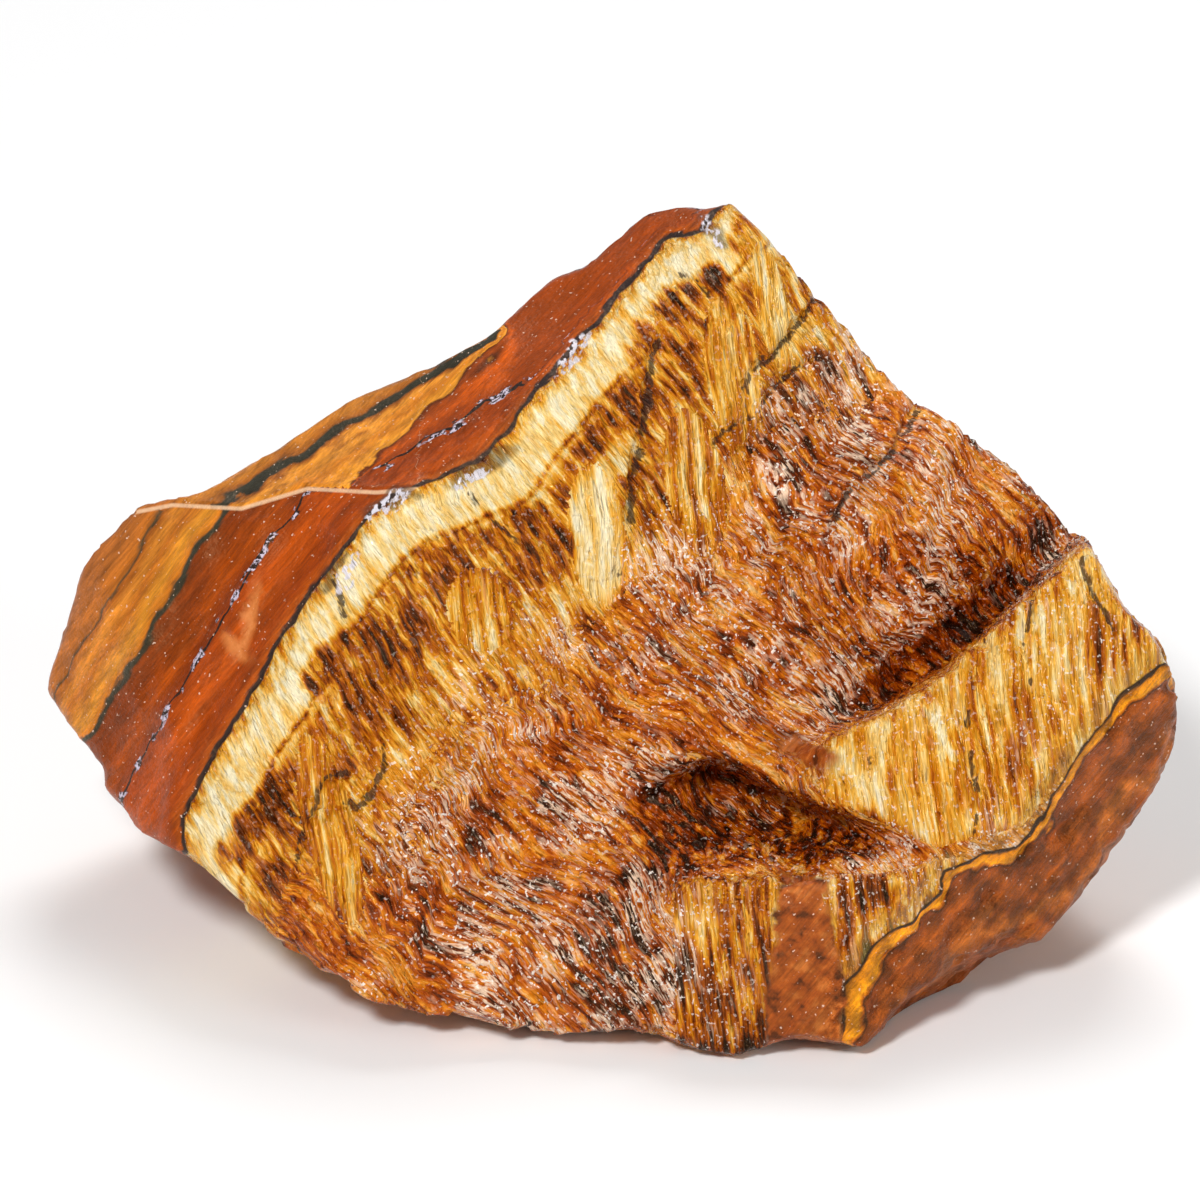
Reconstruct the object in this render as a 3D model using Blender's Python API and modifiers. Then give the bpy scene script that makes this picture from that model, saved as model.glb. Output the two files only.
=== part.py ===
"""Rough tiger's eye: one broken piece of a fibre seam with a jasper wall on either side.

The stone is shaped in the three directions of its broken face: across (to the right), up, and out of
the face. These sizes are in millimetres. The face leans back, so the last steps turn the stone onto its
base and change to metres, with +Z up, the base on z = 0 and the broken face toward -Y.
"""

import math

import bmesh
import bpy
import numpy as np

MM = 0.001
NODE = "rough_stone"

# Driving sizes of the stone, in millimetres and degrees.
LEAN = math.radians(25.0)
VIEW_DISTANCE = 800.0
STAND = (-0.69, 0.50, 27.0)
CORE = (2.0, -5.0, -9.0)
VOXEL = 0.55
FACE_TRIANGLES = 9300

# The outline of the broken face, clockwise from the left tip: (across, up).
OUTLINE = [
    (-44.6, -7.2), (-41.6, 1.8), (-40.4, 6.1), (-39.4, 6.7), (-32.8, 7.8), (-24.6, 12.8),
    (-19.8, 16.0), (-12.8, 18.8), (-8.8, 21.0), (-3.8, 25.7), (-1.0, 26.6), (1.4, 28.8),
    (4.0, 31.4), (6.9, 31.6), (8.2, 31.0), (10.2, 31.8), (13.6, 28.7), (16.2, 25.4),
    (20.6, 20.6), (24.0, 16.3), (27.6, 14.6), (34.4, 8.8), (38.0, 6.0), (40.4, 1.8),
    (41.6, -0.4), (44.8, -3.4), (46.0, -7.2), (46.2, -9.8), (45.4, -13.2), (42.8, -17.2),
    (38.8, -23.0), (35.2, -27.2), (31.2, -28.6), (27.6, -32.8), (23.6, -35.2), (20.8, -35.7),
    (15.2, -35.0), (10.8, -36.5), (6.4, -35.6), (4.4, -34.4), (-3.2, -34.4), (-12.8, -33.0),
    (-17.2, -32.6), (-20.4, -30.8), (-25.6, -27.0), (-32.0, -21.0), (-37.2, -18.2),
    (-37.6, -17.0), (-39.6, -15.0), (-39.6, -13.4), (-42.4, -10.0),
]

# The edge where the fibre seam meets the upper left jasper wall: (across, up, out).
UPPER_CONTACT = [
    (-33.0, -24.0, 6.0), (-33.4, -17.2, 6.5), (-30.2, -11.4, 8.0), (-28.2, -8.0, 9.0),
    (-26.0, -4.4, 10.0), (-24.0, -0.8, 11.0), (-21.2, 3.2, 12.0), (-18.8, 6.4, 12.5),
    (-16.0, 8.6, 12.8), (-12.8, 9.8, 13.0), (-8.8, 11.6, 13.0), (-5.6, 16.0, 9.6),
    (-2.8, 19.2, 7.0), (1.0, 23.6, 3.6), (3.2, 26.4, 1.6), (5.2, 28.8, 0.2),
    (8.0, 29.5, 1.0), (10.8, 32.5, 0.3),
]

# Spot heights over the rest of the fibre face: (across, up, out).
SPOTS = [
    (-22.0, -14.0, 11.0), (-17.6, -12.8, 12.4), (-25.0, -22.0, 10.5), (-16.0, -24.0, 14.5),
    (-16.0, -32.0, 12.5), (-4.8, -19.2, 10.2), (-4.8, -11.8, 8.8), (-10.6, -22.0, 11.5),
    (0.0, -20.0, 11.5), (1.6, -26.4, 14.5), (0.0, -34.0, 13.0), (-16.0, -3.2, 11.8),
    (-12.0, 3.2, 12.4), (-3.2, 9.6, 10.8), (1.6, 4.8, 8.8), (8.0, 12.0, 5.2),
    (16.0, 12.0, 2.0), (24.0, 9.6, 0.4), (30.4, 6.4, -0.8), (8.0, 0.8, 8.0),
    (3.2, -4.8, 9.2), (12.0, -4.8, 6.0), (20.0, -1.6, 2.6), (28.0, 0.0, 0.4),
    (11.2, 20.8, 3.8), (12.0, 28.0, 0.6), (15.2, 24.0, -0.5), (20.0, 20.8, -3.0),
    (25.2, 15.6, -4.0), (30.4, 12.0, -4.5), (36.8, 6.8, -4.0), (16.0, -12.0, 7.0),
    (8.0, -12.0, 9.5), (20.0, -25.0, 12.0), (40.0, -8.0, 0.0),
]

# The golden block: its upper left edge, and its face as out = level + slopes.
BLOCK_EDGE = [
    (12.0, -14.0), (18.4, -10.8), (22.4, -9.0), (27.2, -5.8), (31.2, -2.0), (35.2, 1.6),
    (38.0, 4.4), (44.0, 9.0),
]
BLOCK_CENTRE = (26.0, -12.0, 12.5)
BLOCK_SLOPES = (-0.12, -0.28)
RECESS_DEPTH = 4.6

# The hollow under the block, with its upper rim first and its lower lip after.
HOLLOW = [
    (0.0, -14.5), (8.0, -12.0), (11.6, -12.6), (15.2, -14.8), (20.8, -17.0), (26.4, -19.8),
    (22.4, -21.7), (18.4, -22.2), (15.2, -21.8), (8.0, -21.8), (3.2, -23.4),
]
HOLLOW_DEPTH = 8.5
HOLLOW_UNDERCUT = 0.22
LIP = [
    (0.0, -24.6), (3.2, -23.6), (8.0, -21.9), (15.2, -21.9), (22.4, -21.7), (29.2, -20.2), (36.0, -19.0),
]

# Steps where a bundle of fibres has sprung off: the break line (down the face), the height of the
# ground on its left, and how far to the left it takes to level out.
FIBRE_STEPS = [
    ([(5.6, 20.6), (4.0, 17.5), (3.4, 13.0), (2.7, 9.4), (2.4, 5.6), (1.6, 2.1), (-1.0, 0.6)], 1.5, 5.0),
    ([(17.4, 24.1), (15.4, 21.6), (13.4, 18.6), (13.0, 15.0), (11.0, 12.0), (8.0, 9.5)], 1.3, 5.0),
    ([(-17.1, -9.0), (-17.3, -13.3), (-18.2, -15.4), (-19.4, -16.8), (-24.6, -22.8)], 1.1, 4.0),
    ([(25.6, 15.7), (24.5, 13.4), (21.9, 10.2), (19.6, 8.3), (18.9, 6.6), (16.0, 4.0)], 1.2, 6.0),
    ([(-4.6, -10.0), (-5.4, -19.1), (-10.6, -22.1), (-11.5, -25.2), (-9.0, -30.0)], 1.2, 5.0),
    ([(-11.0, 2.0), (-7.0, -1.5), (-4.0, -5.5), (-3.2, -9.0)], 0.9, 4.0),
    ([(6.2, -0.5), (2.0, -3.0), (-0.5, -7.5), (0.5, -11.5)], 0.8, 4.0),
]

# Flat breaks of the front: a point on each and the way it faces.
UPPER_LEFT_BREAK = ((-14.3, 8.9, 12.6), (-0.427, 0.751, 0.504))
FAR_LEFT_BREAK = ((-40.0, -7.0, -2.4), (-0.80, 0.05, 0.60))
LOWER_RIGHT_BREAK = ((36.4, -15.9, 10.0), (0.62, -0.35, 0.70))
LOWER_FACE = ((12.0, -22.0, 17.5), (-0.05, -0.25, 0.97))
FRONT_LEFT_SLOPE = 0.86

# Flat breaks of the back and the underside.
BACK_BREAKS = [
    ((0.0, 2.0, -27.0), (0.06, 0.22, -0.97)),
    ((14.0, -14.0, -29.0), (0.20, -0.30, -0.93)),
    ((27.0, 14.5, -7.0), (0.50, 0.62, -0.60)),
    ((9.0, 31.0, -5.0), (0.05, 0.80, -0.60)),
    ((-18.0, 17.0, -6.0), (-0.42, 0.66, -0.62)),
    ((-44.9, -4.0, -12.5), (-0.80, 0.16, -0.58)),
    ((-39.8, -18.2, -8.5), (-0.66, -0.56, -0.50)),
    ((-22.0, -29.0, 8.0), (-0.34, -0.86, -0.38)),
    ((33.0, -28.0, 3.0), (0.50, -0.76, -0.42)),
    ((45.5, -9.0, -1.0), (0.86, 0.05, -0.50)),
]

# Shell-like scoops where chips sprang off: the way from the core to the chip, its width and its depth.
SCOOPS = [
    ((-0.86, 0.18, 0.34), 11.0, 0.55), ((-0.84, -0.16, 0.22), 12.0, 0.6), ((-0.70, 0.16, 0.62), 5.0, 0.45),
    ((-0.55, 0.62, 0.30), 13.0, 0.5), ((-0.16, 0.85, 0.30), 9.0, 0.45), ((0.88, -0.26, 0.36), 10.0, 0.6),
    ((0.72, -0.56, 0.40), 11.0, 0.7), ((-0.75, -0.10, -0.60), 24.0, 1.3), ((0.30, 0.20, -0.90), 30.0, 1.6),
    ((-0.20, 0.70, -0.60), 22.0, 1.3), ((0.86, 0.10, -0.45), 17.0, 1.1), ((-0.25, -0.40, -0.88), 24.0, 1.3),
    ((0.70, -0.50, -0.55), 18.0, 1.2), ((-0.86, -0.40, -0.05), 12.0, 0.8), ((0.50, 0.62, -0.45), 19.0, 1.2),
    ((-0.55, -0.62, 0.05), 14.0, 0.8), ((-0.45, 0.35, -0.80), 20.0, 1.2), ((0.60, -0.10, -0.85), 17.0, 1.1),
]

# Beds of the jasper wall that stand proud or lie back: (from, to, height), counted from the contact.
JASPER_BEDS = [
    (-2.2, 0.0, 0.5), (-3.0, -2.2, -0.4), (-5.6, -3.0, 0.9), (-8.8, -5.6, -0.3), (-11.4, -8.8, 0.8),
    (-12.6, -11.4, -0.5), (-16.0, -12.6, 0.5),
]


def smooth_step(low, high, value):
    """Return 0 below low and 1 above high, with an even rise between."""
    share = np.clip((value - low) / (high - low), 0.0, 1.0)
    return share * share * (3.0 - 2.0 * share)


def value_noise(points, cell, seed):
    """Return smooth noise between -1 and 1 at each point, with features about one cell wide."""
    scaled = points / np.asarray(cell, dtype=float)
    corner = np.floor(scaled).astype(np.int64)
    inside = scaled - corner
    inside = inside * inside * (3.0 - 2.0 * inside)
    total = np.zeros(len(points))
    for step in np.ndindex(2, 2, 2):
        near = corner + np.array(step)
        mixed = near[:, 0] * 73856093 ^ near[:, 1] * 19349663 ^ near[:, 2] * 83492791 ^ seed * 2654435761
        mixed = (mixed ^ (mixed >> 13)) * 1274126177
        mixed = (mixed ^ (mixed >> 16)) & 0xFFFF
        weight = np.prod(np.where(np.array(step) == 1, inside, 1.0 - inside), axis=1)
        total += weight * (mixed / 32767.5 - 1.0)
    return total


def along_line(across, up, line):
    """Return each point's signed distance from a line of points and its place along it.

    The distance is positive to the right of the line's direction of travel.
    """
    line = np.asarray(line, dtype=float)[:, :2]
    best = np.full(across.shape, np.inf)
    signed = np.zeros(across.shape)
    place = np.zeros(across.shape)
    travelled = 0.0
    for start, end in zip(line[:-1], line[1:]):
        side = end - start
        length = math.hypot(side[0], side[1])
        share = ((across - start[0]) * side[0] + (up - start[1]) * side[1]) / length ** 2
        share = np.clip(share, 0.0, 1.0)
        gap_across = across - start[0] - share * side[0]
        gap_up = up - start[1] - share * side[1]
        gap = np.hypot(gap_across, gap_up)
        turn = np.where(gap_across * side[1] - gap_up * side[0] >= 0.0, 1.0, -1.0)
        nearer = gap < best
        best = np.where(nearer, gap, best)
        signed = np.where(nearer, gap * turn, signed)
        place = np.where(nearer, travelled + share * length, place)
        travelled += length
    return signed, place


def loop_depth(across, up, loop):
    """Return how far each point lies inside a closed loop of points, negative outside."""
    loop = np.asarray(loop, dtype=float)
    distance = np.full(across.shape, np.inf)
    inside = np.zeros(across.shape, dtype=bool)
    for start, end in zip(loop, np.roll(loop, -1, axis=0)):
        side = end - start
        share = ((across - start[0]) * side[0] + (up - start[1]) * side[1]) / (side @ side)
        share = np.clip(share, 0.0, 1.0)
        gap = np.hypot(across - start[0] - share * side[0], up - start[1] - share * side[1])
        distance = np.minimum(distance, gap)
        spans = (start[1] > up) != (end[1] > up)
        rise = side[1] if side[1] != 0.0 else 1.0
        crossing = start[0] + (up - start[1]) / rise * side[0]
        inside ^= spans & (across < crossing)
    return np.where(inside, distance, -distance)


class SpotSurface:
    """A smooth sheet through spot heights, bent as little as possible (a thin plate)."""

    def __init__(self, spots):
        """Solve the sheet for (across, up, out) spots."""
        spots = np.asarray(spots, dtype=float)
        self.places = spots[:, :2]
        count = len(spots)
        gaps = np.linalg.norm(self.places[:, None] - self.places[None], axis=2)
        flat = np.hstack([np.ones((count, 1)), self.places])
        system = np.zeros((count + 3, count + 3))
        system[:count, :count] = self.bend(gaps)
        system[:count, count:] = flat
        system[count:, :count] = flat.T
        self.weights = np.linalg.solve(system, np.append(spots[:, 2], (0.0, 0.0, 0.0)))

    @staticmethod
    def bend(gap):
        """Return the thin plate's response at a distance from a spot."""
        return gap ** 2 * np.log(np.maximum(gap, 1e-9))

    def height(self, across, up):
        """Return the sheet's height at each place."""
        count = len(self.places)
        result = self.weights[count] + self.weights[count + 1] * across + self.weights[count + 2] * up
        for (spot_across, spot_up), weight in zip(self.places, self.weights[:count]):
            result = result + weight * self.bend(np.hypot(across - spot_across, up - spot_up))
        return result


FIBRE_SHEET = SpotSurface(UPPER_CONTACT[1:-1:2] + SPOTS)


def break_height(across, up, flat_break):
    """Return how far out a flat break lies at each place of the face."""
    point, facing = flat_break
    return point[2] - ((across - point[0]) * facing[0] + (up - point[1]) * facing[1]) / facing[2]


def contact_height(place):
    """Return how far out the contact edge lies at a place along it."""
    edge = np.asarray(UPPER_CONTACT)
    steps = np.hypot(np.diff(edge[:, 0]), np.diff(edge[:, 1]))
    return np.interp(place, np.append(0.0, np.cumsum(steps)), edge[:, 2])


def fibre_relief(across, up):
    """Return the lumps, ribs and terraces of the broken fibres."""
    points = np.column_stack([across, up, np.zeros_like(across)])
    fibre = math.radians(-58.0)
    along = across * math.cos(fibre) + up * math.sin(fibre)
    beside = -across * math.sin(fibre) + up * math.cos(fibre)
    bundles = value_noise(np.column_stack([along, beside, np.zeros_like(along)]), (8.0, 2.8, 1.0), 11)
    splinters = value_noise(np.column_stack([along, beside, np.zeros_like(along)]), (4.0, 1.7, 1.0), 12)
    lumps = value_noise(points, (6.5, 6.5, 6.5), 13)
    return 0.75 * bundles + 0.5 * splinters + 0.55 * lumps


def step_height(across, up):
    """Return how far the sprung-off bundles stand out at each place of the face."""
    height = np.zeros_like(across)
    for line, rise, reach in FIBRE_STEPS:
        beside, place = along_line(across, up, line)
        length = np.hypot(*np.diff(np.asarray(line), axis=0).T).sum()
        ends = smooth_step(0.0, 3.0, place) * smooth_step(length, length - 3.0, place)
        fall = np.exp(-np.clip(beside, 0.0, None) / reach)
        height += rise * ends * smooth_step(-0.25, 0.25, beside) * fall
    return height


def front_height(across, up):
    """Return how far out the front of the stone lies at each place of the face."""
    from_contact, place = along_line(across, up, UPPER_CONTACT)
    seam = FIBRE_SHEET.height(across, up) + step_height(across, up) * smooth_step(0.0, 3.0, from_contact)

    block_across, block_up, block_out = BLOCK_CENTRE
    block = block_out + BLOCK_SLOPES[0] * (across - block_across) + BLOCK_SLOPES[1] * (up - block_up)
    into_block, _ = along_line(across, up, BLOCK_EDGE)
    behind_block = np.clip(-into_block, 0.0, None)
    groove = RECESS_DEPTH * np.exp(-behind_block / 3.5) * smooth_step(17.0, 24.0, across)
    block_share = smooth_step(-0.5, 0.5, into_block) * smooth_step(13.0, 19.0, across)
    seam = (seam - groove) * (1.0 - block_share) + block * block_share

    below_lip, _ = along_line(across, up, LIP)
    lower_share = smooth_step(-0.2, 0.9, below_lip) * smooth_step(3.0, 8.0, across)
    seam = seam * (1.0 - lower_share) + break_height(across, up, LOWER_FACE) * lower_share

    proud = 0.7 * (1.0 - smooth_step(4.3, 5.6, from_contact)) * smooth_step(0.0, 1.0, from_contact)
    calm = 1.0 - 0.6 * lower_share
    seam = seam + proud + fibre_relief(across, up) * smooth_step(0.0, 2.5, from_contact) * calm

    points = np.column_stack([across, up, np.zeros_like(across)])
    waver = 0.5 * value_noise(points, (5.0, 5.0, 5.0), 22) * smooth_step(0.0, -2.0, from_contact)
    front_left = contact_height(place) + FRONT_LEFT_SLOPE * from_contact
    left = np.minimum(front_left, break_height(across, up, UPPER_LEFT_BREAK))
    for start, end, height in JASPER_BEDS:
        risen = smooth_step(start - 0.2, start + 0.2, from_contact + waver)
        fallen = smooth_step(end - 0.2, end + 0.2, from_contact + waver)
        left = left + height * (risen - fallen)
    left = np.minimum(left, break_height(across, up, FAR_LEFT_BREAK))
    jasper = np.minimum(left, break_height(across, up, LOWER_RIGHT_BREAK))
    pits = value_noise(points, (4.0, 4.0, 4.0), 21) + value_noise(points, (2.2, 2.2, 2.2), 23)
    return np.minimum(seam, jasper + 0.20 * pits)


def hollow_depth(across, up):
    """Return how deep the hollow is cut at each place of the face."""
    inside = loop_depth(across, up, HOLLOW)
    return HOLLOW_DEPTH * smooth_step(0.0, 3.2, inside) * smooth_step(0.0, 12.0, across)


def envelope(points):
    """Return how far each point lies outside the stone's flat breaks and outline."""
    across, up, out = points.T
    outside = -loop_depth(across, up, OUTLINE)
    outside = np.maximum(outside, out - (14.0 - 0.06 * across - 0.30 * up))
    for point, facing in [UPPER_LEFT_BREAK, FAR_LEFT_BREAK, LOWER_RIGHT_BREAK, LOWER_FACE] + BACK_BREAKS:
        facing = np.asarray(facing) / np.linalg.norm(facing)
        outside = np.maximum(outside, (points - np.asarray(point)) @ facing)
    return outside


def leave_stone(directions):
    """Return where rays from the core in the given directions cross the stone's flat breaks."""
    core = np.asarray(CORE)
    low = np.zeros(len(directions))
    high = np.full(len(directions), 70.0)
    for _ in range(22):
        middle = (low + high) / 2.0
        outside = envelope(core + directions * middle[:, None]) > 0.0
        high = np.where(outside, middle, high)
        low = np.where(outside, low, middle)
    return core + directions * low[:, None]


def break_facing(points):
    """Return the way the flat break at each point faces, from how fast each direction leads out of it."""
    steps = 0.2 * np.eye(3)
    facing = np.column_stack([envelope(points + step) - envelope(points - step) for step in steps])
    return facing / np.linalg.norm(facing, axis=1)[:, None]


def scoop_out(points):
    """Push points that lie outside a chip's round scoop back onto its hollow surface."""
    ways = np.array([way for way, _, _ in SCOOPS])
    ways = ways / np.linalg.norm(ways, axis=1)[:, None]
    centres = leave_stone(ways)
    centres[:, 2] = np.minimum(centres[:, 2], front_height(centres[:, 0], centres[:, 1]))
    for centre, facing, (_, width, depth) in zip(centres, break_facing(centres), SCOOPS):
        radius = (width * width / 4.0 + depth * depth) / (2.0 * depth)
        middle = centre + facing * (radius - depth)
        reach = points - middle
        far = np.linalg.norm(reach, axis=1)
        caught = (far < radius) & (reach @ facing < 0.0)
        points[caught] = middle + reach[caught] * (radius / far[caught])[:, None]
    return points


def stone_points(directions):
    """Return the stone's surface points along rays from its core."""
    points = leave_stone(directions)
    lumps = value_noise(points, (13.0, 13.0, 13.0), 31) + 0.5 * value_noise(points, (6.0, 6.0, 6.0), 32)
    points = points - directions * (0.9 * (1.0 + lumps) * smooth_step(-5.0, -13.0, points[:, 2]))[:, None]
    points[:, 2] = np.minimum(points[:, 2], front_height(points[:, 0], points[:, 1]))
    on_front = smooth_step(-2.0, 2.0, points[:, 2])
    cut = hollow_depth(points[:, 0], points[:, 1]) * on_front
    points[:, 2] -= cut
    points[:, 1] += cut * HOLLOW_UNDERCUT
    return scoop_out(points)


def stand_up(points):
    """Turn points of the leaning face onto the base and return them in metres."""
    across, up, out = points.T
    nearer = 1.0 - out / VIEW_DISTANCE
    across = across * nearer
    up = up * nearer
    back = up * math.sin(LEAN) - out * math.cos(LEAN)
    height = up * math.cos(LEAN) + out * math.sin(LEAN)
    return (np.column_stack([across, back, height]) + np.asarray(STAND)) * MM


def make_collection(name):
    """Add a collection to the scene and return it."""
    collection = bpy.data.collections.new(name)
    bpy.context.scene.collection.children.link(collection)
    return collection


def stone_material():
    """Return the stone's plain material, a red-brown jasper and gold mean."""
    material = bpy.data.materials.new("tigers_eye")
    material.use_nodes = True
    shader = material.node_tree.nodes["Principled BSDF"]
    shader.inputs["Base Color"].default_value = (0.34, 0.125, 0.035, 1.0)
    shader.inputs["Roughness"].default_value = 0.42
    shader.inputs["Metallic"].default_value = 0.0
    return material


def apply_modifier(thing, kind, **settings):
    """Add one modifier to an object, set it and bake it into the mesh."""
    modifier = thing.modifiers.new(kind.title(), kind)
    for name, value in settings.items():
        setattr(modifier, name, value)
    shaped = bpy.data.meshes.new_from_object(thing.evaluated_get(bpy.context.evaluated_depsgraph_get()))
    thing.modifiers.clear()
    thing.data = shaped


def cut_base(mesh):
    """Cut the stone flat at z = 0 and close the cut with the face it rests on."""
    work = bmesh.new()
    work.from_mesh(mesh)
    everything = work.verts[:] + work.edges[:] + work.faces[:]
    cut = bmesh.ops.bisect_plane(
        work, geom=everything, dist=2e-5, plane_co=(0.0, 0.0, 0.0), plane_no=(0.0, 0.0, -1.0),
        clear_outer=True,
    )
    rim = [item for item in cut["geom_cut"] if isinstance(item, bmesh.types.BMEdge)]
    bmesh.ops.contextual_create(work, geom=rim)
    bmesh.ops.triangulate(work, faces=[face for face in work.faces if len(face.verts) > 3])
    bmesh.ops.recalc_face_normals(work, faces=work.faces)
    work.to_mesh(mesh)
    work.free()


def drop_crumbs(mesh):
    """Remove every loose crumb, so that only the stone itself is left."""
    work = bmesh.new()
    work.from_mesh(mesh)
    unseen = set(work.verts)
    bodies = []
    while unseen:
        body = [unseen.pop()]
        for vertex in body:
            for edge in vertex.link_edges:
                other = edge.other_vert(vertex)
                if other in unseen:
                    unseen.remove(other)
                    body.append(other)
        bodies.append(body)
    bodies.sort(key=len)
    crumbs = [vertex for body in bodies[:-1] for vertex in body]
    bmesh.ops.delete(work, geom=crumbs, context="VERTS")
    work.to_mesh(mesh)
    work.free()


def build_stone():
    """Make the stone's object."""
    work = bmesh.new()
    bmesh.ops.create_icosphere(work, subdivisions=8, radius=1.0)
    mesh = bpy.data.meshes.new(NODE)
    work.to_mesh(mesh)
    work.free()
    directions = np.empty(len(mesh.vertices) * 3)
    mesh.vertices.foreach_get("co", directions)
    placed = stand_up(stone_points(directions.reshape(-1, 3)))
    mesh.vertices.foreach_set("co", placed.ravel())
    stone = bpy.data.objects.new(NODE, mesh)
    make_collection("Rough tiger's eye").objects.link(stone)
    apply_modifier(stone, "REMESH", mode="VOXEL", voxel_size=VOXEL * MM)
    apply_modifier(stone, "SMOOTH", factor=0.5, iterations=2)
    drop_crumbs(stone.data)
    faces = sum(len(polygon.vertices) - 2 for polygon in stone.data.polygons)
    apply_modifier(stone, "DECIMATE", ratio=FACE_TRIANGLES / faces)
    cut_base(stone.data)
    stone.data.name = NODE
    stone.data.materials.clear()
    stone.data.materials.append(stone_material())
    return stone


def main():
    """Clear the scene and build the stone."""
    for thing in list(bpy.data.objects):
        bpy.data.objects.remove(thing, do_unlink=True)
    build_stone()


if __name__ == "__main__":
    main()
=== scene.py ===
"""Dresses the rough tiger's eye stone: splintered silky fibres between two banded jasper walls.

The fine surface is worked out on a copy of the stone's solid. Places on it are given as the broken face
shows them, in millimetres: across (to the right), up, and out of the face. The seam's layers are counted
from two contact lines, where the fibres meet the upper left and the lower right jasper wall.
"""

import logging
import math
from dataclasses import dataclass, field
from enum import Enum

import bmesh
import bpy
import numpy as np
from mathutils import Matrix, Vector


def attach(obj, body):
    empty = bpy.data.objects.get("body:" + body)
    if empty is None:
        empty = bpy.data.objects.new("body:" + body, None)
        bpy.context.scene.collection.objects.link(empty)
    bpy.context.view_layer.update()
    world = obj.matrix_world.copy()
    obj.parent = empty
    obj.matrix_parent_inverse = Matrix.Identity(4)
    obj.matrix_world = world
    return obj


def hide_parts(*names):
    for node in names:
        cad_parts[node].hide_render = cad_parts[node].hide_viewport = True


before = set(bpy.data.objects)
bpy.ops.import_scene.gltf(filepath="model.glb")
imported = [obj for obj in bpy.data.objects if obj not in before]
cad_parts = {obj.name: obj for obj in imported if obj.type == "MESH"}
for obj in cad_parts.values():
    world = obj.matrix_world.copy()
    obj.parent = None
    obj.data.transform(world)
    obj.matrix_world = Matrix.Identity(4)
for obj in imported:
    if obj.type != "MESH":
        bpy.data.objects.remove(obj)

LOG = logging.getLogger("rough_stone")

Sockets = dict[str, bpy.types.NodeSocket]
Nodes = dict[str, bpy.types.Node]

MM = 0.001
NODE = "rough_stone"

# How the broken face leans back, and where its middle stands over the base, in millimetres.
LEAN = math.radians(25.0)
VIEW_DISTANCE = 800.0
STAND = (-0.69, 0.50, 27.0)

# The way a layer of the seam runs into the stone: shift to the right and down for each millimetre inward.
DIP = (0.382, -0.321)
DIP_LEVEL = 10.0

# The slant of the layers on the face, from the lower left to the upper right.
SEAM_SLANT = math.radians(50.0)

# The edge where the fibres meet the upper left wall: (across, up, out), from the lower left to the top.
UPPER_CONTACT = [
    (-33.0, -24.0, 6.0), (-33.4, -17.2, 6.5), (-30.2, -11.4, 8.0), (-28.2, -8.0, 9.0),
    (-26.0, -4.4, 10.0), (-24.0, -0.8, 11.0), (-21.2, 3.2, 12.0), (-18.8, 6.4, 12.5),
    (-16.0, 8.6, 12.8), (-12.8, 9.8, 13.0), (-8.8, 11.6, 13.0), (-5.6, 16.0, 9.6),
    (-2.8, 19.2, 7.0), (1.0, 23.6, 3.6), (3.2, 26.4, 1.6), (5.2, 28.8, 0.2),
    (8.0, 29.5, 1.0), (10.8, 32.5, 0.3),
]

# The edge where the fibres meet the lower right wall, from the bottom up to the right.
LOWER_CONTACT = [
    (19.3, -44.0, 14.0), (19.4, -30.8, 16.5), (20.6, -29.6, 16.5), (22.2, -27.2, 15.5), (24.7, -25.6, 15.5),
    (27.0, -23.4, 14.6), (27.6, -21.8, 14.6), (30.2, -20.4, 13.5), (33.5, -19.6, 11.5), (35.0, -17.6, 10.8),
    (36.4, -15.4, 10.0), (38.6, -12.2, 9.2), (40.6, -9.6, 8.6), (42.0, -7.2, 8.4), (43.6, -6.0, 7.8),
    (46.4, -4.6, 7.0),
]

# The sharp lip between the upper break of the wall and the front left one: (across, up).
WALL_LIP = [
    (-60.0, 5.6), (-40.4, 6.4), (-34.2, 7.6), (-28.7, 7.3), (-23.4, 8.9), (-17.9, 8.6), (-14.3, 8.9),
    (20.0, 9.4),
]

# How far across the lip reaches, and a distance beside it where it no longer counts.
LIP_END = -14.3
LIP_FAR = 9.0

# Three beds as they cross the upper break, which spread out toward the lip: a place (across, up) on each,
# its slant in degrees, and its depth in the wall.
TOP_BEDS = [((-13.2, 13.2), 29.0, 5.0), ((-19.4, 9.6), 46.0, 7.1), ((-28.8, 8.0), 32.0, 9.3)]

# The jasper that reaches over the lower face.
JASPER_PATCH = [
    (14.4, -21.9), (17.9, -22.3), (18.4, -25.2), (19.4, -28.4), (19.6, -40.0), (13.4, -40.0), (13.2, -33.0),
    (13.6, -28.0),
]

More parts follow.
